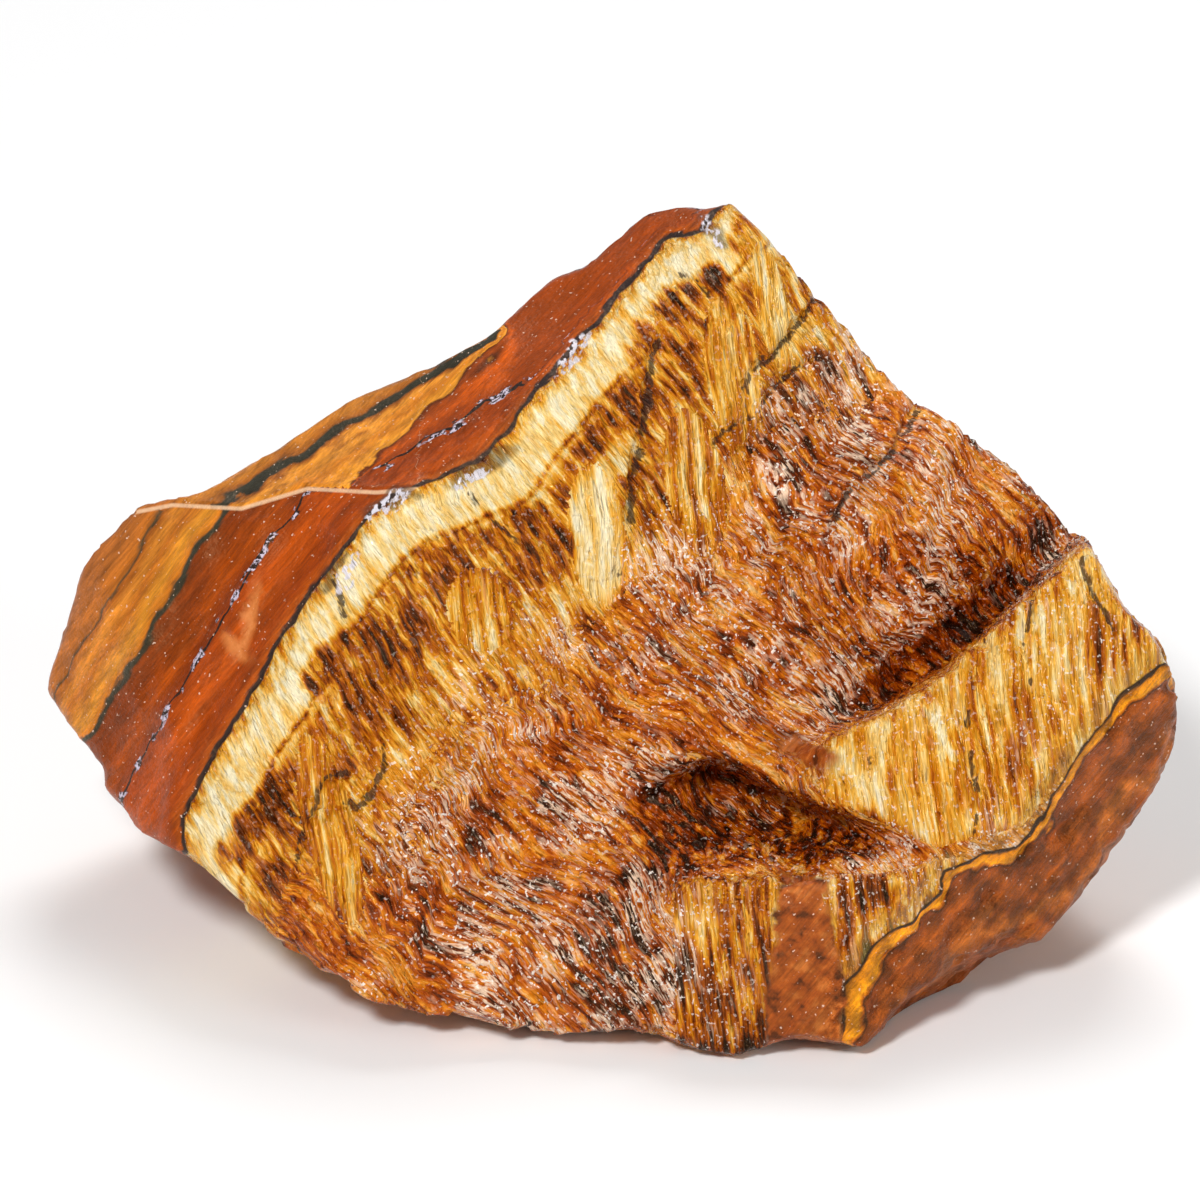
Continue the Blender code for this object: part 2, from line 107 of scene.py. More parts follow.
# Cracks and dark seams of the fibre face: (across, up) down each line.
CRACKS = [
    [(4.5, 20.6), (4.0, 17.5), (3.4, 13.0), (2.7, 9.4), (2.4, 5.6), (1.6, 2.1)],
    [(17.4, 24.1), (15.4, 21.6), (13.8, 19.4), (12.6, 18.6)],
    [(18.6, 19.5), (15.6, 18.6), (13.4, 16.2), (11.8, 14.6), (9.0, 12.8)],
    [(25.6, 15.7), (24.5, 13.4), (21.9, 10.2), (19.6, 8.3), (18.9, 6.6)],
    [(-17.1, -9.0), (-17.3, -13.3), (-18.2, -15.4), (-19.4, -16.8), (-20.2, -16.2)],
    [(-20.2, -13.9), (-22.3, -14.3), (-23.0, -16.8), (-24.1, -19.4), (-24.6, -21.8)],
    [(6.2, 26.2), (7.6, 25.6), (8.9, 24.2), (9.6, 22.6)],
    [(27.6, -2.0), (29.0, -2.6), (30.8, -3.4)],
    [(-21.4, 2.0), (-20.6, -0.6), (-19.6, -2.6)],
    [(-10.4, 8.6), (-8.6, 6.4), (-6.4, 4.4)],
    [(29.4, -8.8), (29.6, -12.0), (30.2, -15.4), (30.0, -18.6)],
    [(21.6, -12.6), (21.8, -16.0)],
    [(34.6, 0.6), (34.0, -3.0), (34.4, -6.6)],
    [(38.6, 3.2), (39.4, 0.4), (41.2, -2.4)],
    [(12.4, 13.0), (11.6, 17.0), (13.0, 19.6)],
]


class FibreRun(Enum):
    """The ways the fibres run: their slant in degrees, sway in millimetres, and how short they broke."""

    SLANTED = (-57.0, 0.7, 0.80)
    UPRIGHT = (-83.0, 0.4, 0.45)
    SWEPT = (-46.0, 2.0, 1.00)


@dataclass(frozen=True)
class Patch:
    """A soft-edged patch of the fibre face with a tone of its own.

    Tone runs from 0 (cream) over 0.3 (gold), 0.5 (amber) and 0.7 (brown) to 1 (almost black).
    """

    across: float
    up: float
    half_length: float
    half_width: float
    turn: float
    tone: float

    def share(self, across: np.ndarray, up: np.ndarray) -> np.ndarray:
        """Return how much of each place the patch covers.

        Args:
            across: Places on the face, to the right, in millimetres.
            up: The same places, upward.

        Returns:
            1 inside the patch, falling to 0 over its soft edge.
        """
        turn = math.radians(self.turn)
        along = (across - self.across) * math.cos(turn) + (up - self.up) * math.sin(turn)
        beside = -(across - self.across) * math.sin(turn) + (up - self.up) * math.cos(turn)
        reach = np.hypot(along / self.half_length, beside / self.half_width)
        return smooth_step(1.35, 0.65, reach)


# The patches on the face, in the order they are laid over each other.
PATCHES = [
    Patch(6.4, 23.0, 4.6, 2.0, 50.0, 0.60), Patch(9.2, 25.7, 1.8, 0.8, -55.0, 0.86),
    Patch(11.6, 29.6, 1.8, 1.4, -50.0, 0.50), Patch(6.6, 19.6, 3.2, 1.8, -60.0, 0.60),
    Patch(1.2, 13.8, 5.4, 2.0, 50.0, 0.62), Patch(0.6, 10.8, 3.0, 1.2, 40.0, 0.26),
    Patch(13.8, 23.4, 5.4, 1.3, -78.0, 0.22), Patch(10.6, 18.4, 6.0, 2.2, -82.0, 0.32),
    Patch(7.6, 9.4, 6.0, 2.4, -80.0, 0.42), Patch(15.8, 24.4, 1.6, 1.0, -45.0, 0.42),
    Patch(16.6, 14.5, 6.0, 4.0, 50.0, 0.64), Patch(-0.2, 5.2, 5.8, 2.3, -84.0, 0.10),
    Patch(-6.8, 5.0, 3.4, 1.9, 40.0, 0.60), Patch(-14.2, 1.4, 6.4, 2.1, 42.0, 0.58),
    Patch(-9.6, -0.8, 3.4, 2.6, -76.0, 0.38), Patch(-21.2, -5.2, 3.0, 1.6, 50.0, 0.72),
    Patch(-17.2, -2.6, 3.0, 1.2, 40.0, 0.66), Patch(-26.8, -16.8, 5.0, 1.6, 55.0, 0.68),
    Patch(-21.6, -18.4, 7.8, 2.1, -76.0, 0.38), Patch(-14.0, -25.5, 4.6, 3.2, -45.0, 0.66),
    Patch(3.0, -31.5, 5.4, 2.2, 0.0, 0.78), Patch(2.0, -26.4, 4.0, 1.8, -40.0, 0.74),
    Patch(5.0, -14.6, 3.2, 2.0, -20.0, 0.80), Patch(5.0, -21.4, 3.4, 1.6, 20.0, 0.82),
    Patch(31.2, 8.8, 3.4, 1.4, -52.0, 0.38), Patch(26.4, 6.6, 3.2, 1.8, 20.0, 0.44),
    # The dark patches at (33.4, 1.0) and (26.2, -4.4) and the black slit at (29.6, -2.5) lie in the recess
    # behind the block's edge: dark brown fibres, darkened further as painted shade.
    Patch(35.4, 5.6, 3.6, 1.8, -15.0, 0.72), Patch(33.4, 1.0, 4.6, 1.6, 32.0, 0.80),
    Patch(26.2, -4.4, 7.6, 1.9, 38.0, 0.70), Patch(29.6, -2.5, 3.0, 0.6, -18.0, 1.0),
    Patch(20.6, -7.6, 4.0, 1.4, 32.0, 0.76), Patch(22.4, 1.4, 5.0, 2.0, 40.0, 0.60),
]

# Silver quartz beside the dark contact, the places where the contact widens, and chips of the front wall.
QUARTZ_PATCHES = [
    Patch(-2.2, 19.6, 2.2, 0.5, 50.0, 0.0), Patch(-16.8, 7.6, 2.0, 0.6, 28.0, 0.0),
    Patch(-20.2, 2.2, 2.0, 0.5, 58.0, 0.0), Patch(9.0, 29.4, 1.7, 0.5, -60.0, 0.0),
    Patch(-10.2, 9.6, 2.0, 0.35, 30.0, 0.0),
]
CONTACT_PATCHES = [
    Patch(-9.4, 10.6, 3.2, 0.8, 32.0, 0.0), Patch(-16.6, 8.0, 2.6, 0.7, 20.0, 0.0),
    Patch(-21.4, 2.4, 2.0, 0.6, 55.0, 0.0), Patch(9.0, 29.4, 1.8, 0.8, -50.0, 0.0),
]
CHIP_PATCHES = [
    Patch(-27.9, -1.4, 2.6, 0.5, 78.0, 0.0), Patch(-29.1, -3.8, 1.5, 0.5, -50.0, 0.0),
]

# The golden block's bright and amber places.
BLOCK_PATCHES = [
    Patch(36.2, -4.6, 4.0, 2.4, -80.0, 0.18), Patch(20.8, -11.6, 3.0, 1.6, 40.0, 0.22),
    Patch(41.4, -3.4, 3.6, 1.6, 50.0, 0.62), Patch(32.6, -15.4, 3.0, 1.6, 60.0, 0.52),
]

# The fibres' tone by their depth in the seam, in millimetres from the upper wall.
FIBRE_STEPS = [
    0.0, 0.7, 1.5, 4.0, 4.4, 4.8, 5.3, 6.2, 8.0, 10.5, 12.5, 15.0, 18.0, 28.0, 36.0, 39.0, 47.0, 51.0,
]
FIBRE_TONES = [
    0.46, 0.24, 0.08, 0.14, 0.56, 0.16, 0.34, 0.50, 0.58, 0.50, 0.40, 0.42, 0.52, 0.54, 0.54, 0.38,
    0.40, 0.34,
]

# The golden block's outline, the hollow's, and the lower face's, where the fibres stand upright.
BLOCK = [
    (17.8, -11.0), (22.4, -9.0), (27.2, -5.8), (31.2, -2.0), (35.2, 1.6), (38.0, 4.4), (44.0, 4.0),
    (47.0, -4.4), (40.0, -10.0), (34.0, -18.0), (27.0, -19.8), (20.8, -17.0), (17.6, -15.6),
]
HOLLOW = [
    (0.0, -15.0), (8.0, -12.0), (11.6, -12.6), (15.2, -14.8), (20.8, -17.0), (26.4, -19.8),
    (22.4, -21.7), (18.4, -22.2), (15.2, -21.8), (8.0, -21.8), (3.2, -23.4),
]
LOWER_FACE = [
    (5.6, -22.6), (8.0, -21.9), (15.2, -21.9), (22.4, -21.7), (29.2, -20.2), (30.0, -24.0), (20.0, -38.0),
    (6.0, -38.0),
]


def smooth_step(low: float, high: float, value: np.ndarray) -> np.ndarray:
    """Return 0 at low and 1 at high, with an even rise between.

    Args:
        low: Where the rise starts.
        high: Where it ends, which may be the smaller of the two.
        value: The numbers to place on it.

    Returns:
        The share for each value.
    """
    share = np.clip((value - low) / (high - low), 0.0, 1.0)
    return share * share * (3.0 - 2.0 * share)


def value_noise(points: np.ndarray, seed: int) -> np.ndarray:
    """Return smooth noise between -1 and 1, with features one unit wide.

    Args:
        points: Rows of three coordinates.
        seed: Which of the many noises to take.

    Returns:
        One value for each point.
    """
    corner = np.floor(points).astype(np.int64)
    inside = points - corner
    inside = inside * inside * (3.0 - 2.0 * inside)
    total = np.zeros(len(points))
    for step in np.ndindex(2, 2, 2):
        near = corner + np.array(step)
        mixed = near[:, 0] * 73856093 ^ near[:, 1] * 19349663 ^ near[:, 2] * 83492791 ^ seed * 2654435761
        mixed = (mixed ^ (mixed >> 13)) * 1274126177
        mixed = (mixed ^ (mixed >> 16)) & 0xFFFF
        weight = np.prod(np.where(np.array(step) == 1, inside, 1.0 - inside), axis=1)
        total += weight * (mixed / 32767.5 - 1.0)
    return total


def along_line(across: np.ndarray, up: np.ndarray, line: np.ndarray) -> tuple[np.ndarray, np.ndarray]:
    """Measure places against a line of points.

    Args:
        across: Places to the right, in millimetres.
        up: The same places, upward.
        line: The line's points as rows of (across, up).

    Returns:
        The distance from the line, positive to the right of its travel, and the place along it.
    """
    best = np.full(across.shape, np.inf)
    signed = np.zeros(across.shape)
    place = np.zeros(across.shape)
    travelled = 0.0
    for start, end in zip(line[:-1], line[1:]):
        side = end - start
        length = math.hypot(side[0], side[1])
        share = ((across - start[0]) * side[0] + (up - start[1]) * side[1]) / length ** 2
        share = np.clip(share, 0.0, 1.0)
        gap_across = across - start[0] - share * side[0]
        gap_up = up - start[1] - share * side[1]
        gap = np.hypot(gap_across, gap_up)
        turn = np.where(gap_across * side[1] - gap_up * side[0] >= 0.0, 1.0, -1.0)
        nearer = gap < best
        best = np.where(nearer, gap, best)
        signed = np.where(nearer, gap * turn, signed)
        place = np.where(nearer, travelled + share * length, place)
        travelled += length
    return signed, place


def loop_depth(across: np.ndarray, up: np.ndarray, loop: list[tuple[float, float]]) -> np.ndarray:
    """Return how far each place lies inside a closed loop, negative outside.

    Args:
        across: Places to the right, in millimetres.
        up: The same places, upward.
        loop: The loop's corners in order.

    Returns:
        The depth inside the loop for each place, in millimetres.
    """
    corners = np.asarray(loop, dtype=float)
    distance = np.full(across.shape, np.inf)
    inside = np.zeros(across.shape, dtype=bool)
    for start, end in zip(corners, np.roll(corners, -1, axis=0)):
        side = end - start
        share = ((across - start[0]) * side[0] + (up - start[1]) * side[1]) / (side @ side)
        share = np.clip(share, 0.0, 1.0)
        gap = np.hypot(across - start[0] - share * side[0], up - start[1] - share * side[1])
        distance = np.minimum(distance, gap)
        spans = (start[1] > up) != (end[1] > up)
        rise = side[1] if side[1] != 0.0 else 1.0
        crossing = start[0] + (up - start[1]) / rise * side[0]
        inside ^= spans & (across < crossing)
    return np.where(inside, distance, -distance)


def read_rows(items: bpy.types.bpy_prop_collection, name: str, each: int, width: int) -> np.ndarray:
    """Return one property of a mesh's vertices, edges or corners as rows.

    Args:
        items: The vertices, edges or corners.
        name: The property.
        each: How many numbers each item has.
        width: How many numbers make a row.

    Returns:
        Rows of floats for places and directions, and of whole numbers for the rest.
    """
    kind = float if name in ("co", "normal") else int
    values = np.empty(len(items) * each, dtype=kind)
    items.foreach_get(name, values)
    return values.reshape(-1, width)


def cut_triangles(places: np.ndarray, corners: np.ndarray, middles: np.ndarray) -> np.ndarray:
    """Cut triangles at the middles of their sides, so that neighbours still fit.

    Args:
        places: Where each vertex is, with the middles after the corners.
        corners: The three corners of each triangle.
        middles: The middle of each side from one corner to the next, or -1 where the side stays whole.

    Returns:
        The three corners of each new triangle.
    """
    cuts = (middles >= 0).sum(axis=1)
    pieces = [corners[cuts == 0]]
    # Each triangle is turned so that a lone cut side comes first, and a lone whole side last. Its corners
    # are then points 0, 1 and 2, and the middles of the sides that follow them are 3, 4 and 5.
    first = np.where(cuts == 1, np.argmax(middles, axis=1), (np.argmin(middles, axis=1) + 1) % 3)
    order = (first[:, None] + np.arange(3)) % 3
    points = np.hstack([np.take_along_axis(rows, order, axis=1) for rows in (corners, middles)])
    # Two cuts leave a four-sided piece, which is cut along its shorter diagonal.
    across = np.linalg.norm(places[points[:, 0]] - places[points[:, 4]], axis=1)
    other = np.linalg.norm(places[points[:, 3]] - places[points[:, 2]], axis=1)
    for chosen, patterns in (
        (cuts == 1, ((0, 3, 2), (3, 1, 2))),
        (cuts == 2, ((3, 1, 4),)),
        (cuts == 3, ((0, 3, 5), (3, 1, 4), (5, 4, 2), (3, 4, 5))),
        ((cuts == 2) & (across <= other), ((0, 3, 4), (0, 4, 2))),
        ((cuts == 2) & (across > other), ((0, 3, 2), (3, 4, 2))),
    ):
        pieces.extend(points[chosen][:, pattern] for pattern in patterns)
    return np.vstack(pieces)


def linear(hex_colour: str) -> tuple[float, float, float, float]:
    """Turn an sRGB hex colour into the linear colour that a shader takes.

    Args:
        hex_colour: Six hex digits, with or without a leading mark.

    Returns:
        Red, green, blue and an alpha of 1.
    """
    digits = hex_colour.lstrip("#")
    channels = [int(digits[start:start + 2], 16) / 255.0 for start in (0, 2, 4)]
    curved = [c / 12.92 if c <= 0.04045 else ((c + 0.055) / 1.055) ** 2.4 for c in channels]
    return (curved[0], curved[1], curved[2], 1.0)


@dataclass(frozen=True)
class LeaningFace:
    """The broken face's own directions, leaning back over the base."""

    lean: float = LEAN
    distance: float = VIEW_DISTANCE
    stand: tuple[float, float, float] = STAND

    def seen(self, points: np.ndarray) -> np.ndarray:
        """Return across, up and out in millimetres for places in metres.

        Args:
            points: Rows of X, Y and Z in the part's frame.

        Returns:
            Rows of across, up and out.
        """
        moved = points / MM - np.asarray(self.stand)
        out = -moved[:, 1] * math.cos(self.lean) + moved[:, 2] * math.sin(self.lean)
        up = moved[:, 1] * math.sin(self.lean) + moved[:, 2] * math.cos(self.lean)
        nearer = 1.0 - out / self.distance
        return np.column_stack([moved[:, 0] / nearer, up / nearer, out])

    def facing(self, normals: np.ndarray) -> np.ndarray:
        """Return normals turned into the face's directions.

        Args:
            normals: Rows of unit normals in the part's frame.

        Returns:
            Rows of their across, up and out shares.
        """
        out = -normals[:, 1] * math.cos(self.lean) + normals[:, 2] * math.sin(self.lean)
        up = normals[:, 1] * math.sin(self.lean) + normals[:, 2] * math.cos(self.lean)
        return np.column_stack([normals[:, 0], up, out])


@dataclass
class Layers:
    """Where each point lies in the seam: its layer, its fibre run and its tone."""

    seen: np.ndarray
    facing: np.ndarray
    upper_bed: np.ndarray = field(init=False)
    lower_bed: np.ndarray = field(init=False)
    depth: np.ndarray = field(init=False)
    front: np.ndarray = field(init=False)
    top_break: np.ndarray = field(init=False)
    lip_side: np.ndarray = field(init=False)

    def __post_init__(self) -> None:
        """Measure every point against the two contact lines."""
        across, up, out = self.seen.T
        self.front = smooth_step(-0.15, 0.2, self.facing[:, 2])
        upper = np.asarray(UPPER_CONTACT)
        lower = np.asarray(LOWER_CONTACT)
        ragged = 0.28 * value_noise(self.seen / 1.7, 30) + 0.14 * value_noise(self.seen / 0.7, 31)
        seen_upper = along_line(across, up, upper[:, :2])[0] + ragged
        seen_lower = along_line(across, up, lower[:, :2])[0] + ragged
        sunk_across, sunk_up = self.on_level(across, up, out)
        deep_upper, _ = along_line(sunk_across, sunk_up, np.column_stack(self.on_level(*upper.T)))
        deep_lower, _ = along_line(sunk_across, sunk_up, np.column_stack(self.on_level(*lower.T)))
        # The upper break shows its layers slanting less than the front-left one, so it has its own count.
        below_lip, _ = along_line(across, up, np.asarray(WALL_LIP))
        self.lip_side = np.where(across < LIP_END, below_lip, LIP_FAR)
        above_lip = smooth_step(0.12, -0.12, below_lip)
        self.top_break = above_lip * smooth_step(0.5, 0.0, seen_upper) * self.front
        top_bed = self.bed_on_top(across, up) + 1.5 * ragged
        # Past the ledge near the top only the inner, deep orange beds are left.
        top_bed = np.minimum(top_bed, 5.5 + 20.0 * smooth_step(-7.0, -9.5, across + 2.0 * ragged))
        front_bed = -seen_upper * (1.0 - self.top_break) + top_bed * self.top_break
        front_bed = np.where(seen_upper > -0.9, -seen_upper, np.maximum(front_bed, 0.9))
        deep_bed = np.where(deep_upper < 0, -0.68, -0.9) * (deep_upper + ragged)
        self.upper_bed = front_bed * self.front + deep_bed * (1.0 - self.front)
        self.lower_bed = seen_lower * self.front + 0.8 * (deep_lower + ragged) * (1.0 - self.front)
        self.depth = -self.upper_bed

    @staticmethod
    def bed_on_top(across: np.ndarray, up: np.ndarray) -> np.ndarray:
        """Return how deep in the wall each place of the upper break lies.

        Args:
            across: Places on the face, to the right, in millimetres.
            up: The same places, upward.

        Returns:
            The depth in the wall, in millimetres, with the three known beds spreading out between.
        """
        gaps = []
        for (start_across, start_up), slant, _ in TOP_BEDS:
            turn = math.radians(slant)
            gaps.append((up - start_up) * math.cos(turn) - (across - start_across) * math.sin(turn))
        bed = TOP_BEDS[0][2] + gaps[0]
        for inner, outer, (_, _, low), (_, _, high) in zip(gaps, gaps[1:], TOP_BEDS, TOP_BEDS[1:]):
            share = np.clip(inner / np.maximum(inner - outer, 0.05), 0.0, 1.0)
            bed = np.where(inner > 0.0, low + (high - low) * share, bed)
        return np.where(gaps[-1] > 0.0, TOP_BEDS[-1][2] + gaps[-1], bed)

    @staticmethod
    def on_level(across: np.ndarray, up: np.ndarray, out: np.ndarray) -> tuple[np.ndarray, np.ndarray]:
        """Slide places along their layer to one level of the face.

        Args:
            across: Places to the right, in millimetres.
            up: The same places, upward.
            out: The same places, out of the face.

        Returns:
            Across and up where each place's layer meets the level.
        """
        return across + DIP[0] * (out - DIP_LEVEL), up + DIP[1] * (out - DIP_LEVEL)

    def overlay_share(self) -> np.ndarray:
        """Return 1 where jasper reaches over the fibres, on the lower face and beside the hollow."""
        across, up, _ = self.seen.T
        ragged = 0.5 * value_noise(self.seen / 1.6, 32) + 0.25 * value_noise(self.seen / 0.6, 33)
        patch = smooth_step(-0.2, 0.2, loop_depth(across, up, JASPER_PATCH) + ragged)
        smear = Patch(16.6, -12.2, 2.4, 1.0, -28.0, 0.0).share(across + ragged, up + ragged)
        return np.maximum(patch, smear) * self.front

    def fibre_share(self) -> np.ndarray:
        """Return 1 where the stone is fibre and 0 where it is a jasper wall."""
        walls = smooth_step(0.1, -0.3, self.upper_bed) * smooth_step(0.1, -0.3, self.lower_bed)
        return walls * (1.0 - self.overlay_share())

    def bands(self, seed: int) -> np.ndarray:
        """Return noise that is drawn out along the seam's layers, from -1 to 1.

        Args:
            seed: Which of the many noises to take.

        Returns:
            One value for each point.
        """
        across, up, out = self.seen.T
        along = across * math.cos(SEAM_SLANT) + up * math.sin(SEAM_SLANT)
        places = np.column_stack([along / 11.0, self.depth / 2.6, out / 9.0])
        return value_noise(places, seed)

    def patch_share(self, patches: list[Patch], waver: float) -> np.ndarray:
        """Return how much of each point the patches cover.

        Args:
            patches: The patches.
            waver: How far their edges wander, in millimetres.

        Returns:
            The share at each point.
        """
        across, up, _ = self.seen.T
        across = across + waver * value_noise(self.seen / 1.1, 34)
        up = up + waver * value_noise(self.seen / 1.1, 35)
        share = np.zeros(across.shape)
        for patch in patches:
            share = np.maximum(share, patch.share(across, up))
        return share * self.front

    def upright_share(self) -> np.ndarray:
        """Return how far the fibres stand upright at each point."""
        across, up, _ = self.seen.T
        share = smooth_step(-0.6, 0.6, loop_depth(across, up, BLOCK))
        share = np.maximum(share, smooth_step(-0.4, 0.8, loop_depth(across, up, LOWER_FACE)))
        for patch in PATCHES:
            if patch.turn < -74.0:
                share = np.maximum(share, patch.share(across, up))
        return share * self.front

    def swept_share(self) -> np.ndarray:
        """Return how far the fibres lie swept over at each point."""
        up = self.seen[:, 1]
        waver = 2.5 * value_noise(self.seen / 7.0, 41) + 1.5 * value_noise(self.seen / 2.5, 52)
        middle = smooth_step(12.5, 20.5, self.depth + waver)
        lower_left = smooth_step(-20.0, -24.0, up) * smooth_step(6.0, 9.0, self.depth)
        return np.maximum(middle, lower_left) * (1.0 - self.upright_share())

    def layered_tone(self) -> np.ndarray:
        """Return the fibres' tone by how deep in the seam they lie."""
        waver = 0.5 * value_noise(self.seen / 3.0, 42) + 0.9 * value_noise(self.seen / 8.0, 43)
        depth = self.depth + waver * smooth_step(4.6, 8.0, self.depth)
        clouds = 0.12 * value_noise(self.seen / 3.4, 44) + 0.14 * self.bands(36)
        return np.interp(depth, FIBRE_STEPS, FIBRE_TONES) + clouds * smooth_step(5.0, 9.0, self.depth)

    def block_tone(self, across: np.ndarray, up: np.ndarray) -> np.ndarray:
        """Return the tone of the golden block.

        Args:
            across: Places on the face, to the right, in millimetres.
            up: The same places, upward.

        Returns:
            The tone at each point.
        """
        tone = 0.33 + 0.24 * value_noise(self.seen / (1.3, 5.0, 5.0), 47)
        tone = tone + 0.10 * value_noise(self.seen / 1.6, 37)
        for patch in BLOCK_PATCHES:
            tone = tone + 0.8 * (patch.tone - tone) * patch.share(across, up)
        return tone

    def lower_face_tone(self) -> np.ndarray:
        """Return the mottled tone of the lower face, which is darker downward and at the right."""
        across, up, _ = self.seen.T
        tone = 0.44 + 0.26 * value_noise(self.seen / 2.0, 48) + 0.30 * smooth_step(-25.5, -29.0, up)
        return np.where(across > 19.0, tone + 0.12, tone)

    def fibre_tone(self) -> np.ndarray:
        """Return the fibres' tone at each point, from 0 (cream) to 1 (almost black)."""
        across, up, _ = self.seen.T
        warp_across = across + 0.9 * value_noise(self.seen / 2.2, 45)
        warp_up = up + 0.9 * value_noise(self.seen / 2.2, 46)
        tone = self.layered_tone()
        for patch in PATCHES:
            share = patch.share(warp_across, warp_up) * self.front
            tone = tone + (patch.tone - tone) * share
        block = smooth_step(-0.3, 0.5, loop_depth(across, up, BLOCK)) * self.front
        tone = tone + (self.block_tone(warp_across, warp_up) - tone) * block
        lower = smooth_step(-0.2, 0.5, loop_depth(across, up, LOWER_FACE)) * self.front
        tone = tone + (self.lower_face_tone() - tone) * lower
        # The hollow is dark brown with amber flecks, darkened further as painted shade, and a part of its
        # upper edge shows amber.
        hollow = smooth_step(-0.6, 2.2, loop_depth(across, up, HOLLOW)) * self.front
        flecks = smooth_step(0.25, 0.60, value_noise(self.seen / (0.6, 1.6, 1.0), 49)) * 0.42
        tone = tone + (0.79 - flecks - tone) * hollow
        beside_rim, _ = along_line(across, up, np.asarray(HOLLOW[2:6]))
        rim = smooth_step(0.8, 0.2, np.abs(beside_rim)) * self.front
        rim = rim * smooth_step(12.0, 15.0, across) * smooth_step(27.0, 24.0, across)
        tone = tone + (0.44 - tone) * rim
        # Duller fibres beside the lower contact.
        dull = smooth_step(-2.6, -1.6, self.lower_bed) * smooth_step(-0.2, -0.6, self.lower_bed)
        tone = tone + (0.40 - tone) * dull * 0.8
        return np.clip(tone, 0.0, 1.0)

    def flake_and_sheen_share(self) -> np.ndarray:
        """Return how thickly pale splinters and painted sheen lie over the fibres at each point."""
        across, up, _ = self.seen.T
        middle = smooth_step(10.0, 17.0, self.depth) * (1.0 - 0.75 * self.upright_share())
        # The sheen and shine patches are painted sheen, laid in as pale flakes.
        sheen = Patch(6.6, 0.8, 6.0, 3.4, -35.0, 0.0).share(across, up)
        shine = Patch(26.6, 7.4, 3.4, 1.8, 35.0, 0.0).share(across, up)
        lower = Patch(0.0, -28.0, 9.0, 5.0, 0.0, 0.0).share(across, up)
        dark = smooth_step(0.0, 2.0, loop_depth(across, up, HOLLOW))
        recess = Patch(26.2, -4.4, 7.6, 1.9, 38.0, 0.0).share(across, up)
        painted_sheen = np.maximum(np.maximum(sheen, shine), 0.7 * lower)
        clusters = value_noise(self.seen / 3.4, 39) + 0.5 * value_noise(self.seen / 1.5, 40)
        clusters = clusters + 0.5 * self.bands(38)
        middle = middle * (0.18 + 0.82 * smooth_step(-0.25, 0.5, clusters))
        flakes = 0.08 + 0.78 * middle + 0.60 * painted_sheen * (0.6 + 0.4 * clusters)
        flakes = flakes * (1.0 - 0.4 * smooth_step(-10.0, -14.0, across) * smooth_step(-16.0, -20.0, up))
        return np.clip(flakes * (1.0 - 0.9 * np.maximum(0.8 * dark, recess)), 0.0, 1.0)

    def crack_share(self) -> np.ndarray:
        """Return 1 on a crack, falling to 0 about half a millimetre beside it."""
        across, up, _ = self.seen.T
        wobble = 0.25 * value_noise(self.seen / 0.9, 50)
        gap = np.full(across.shape, 3.0)
        for number, crack in enumerate(CRACKS):
            beside, _ = along_line(across, up, np.asarray(crack))
            wider = 0.14 if number == 0 else 0.0
            gap = np.minimum(gap, np.clip(np.abs(beside + wobble) - wider, 0.0, None))
        healed = smooth_step(0.1, 0.6, value_noise(self.seen / 1.8, 51))
        return np.exp(-(gap / 0.34) ** 2) * (1.0 - 0.7 * healed) * self.front


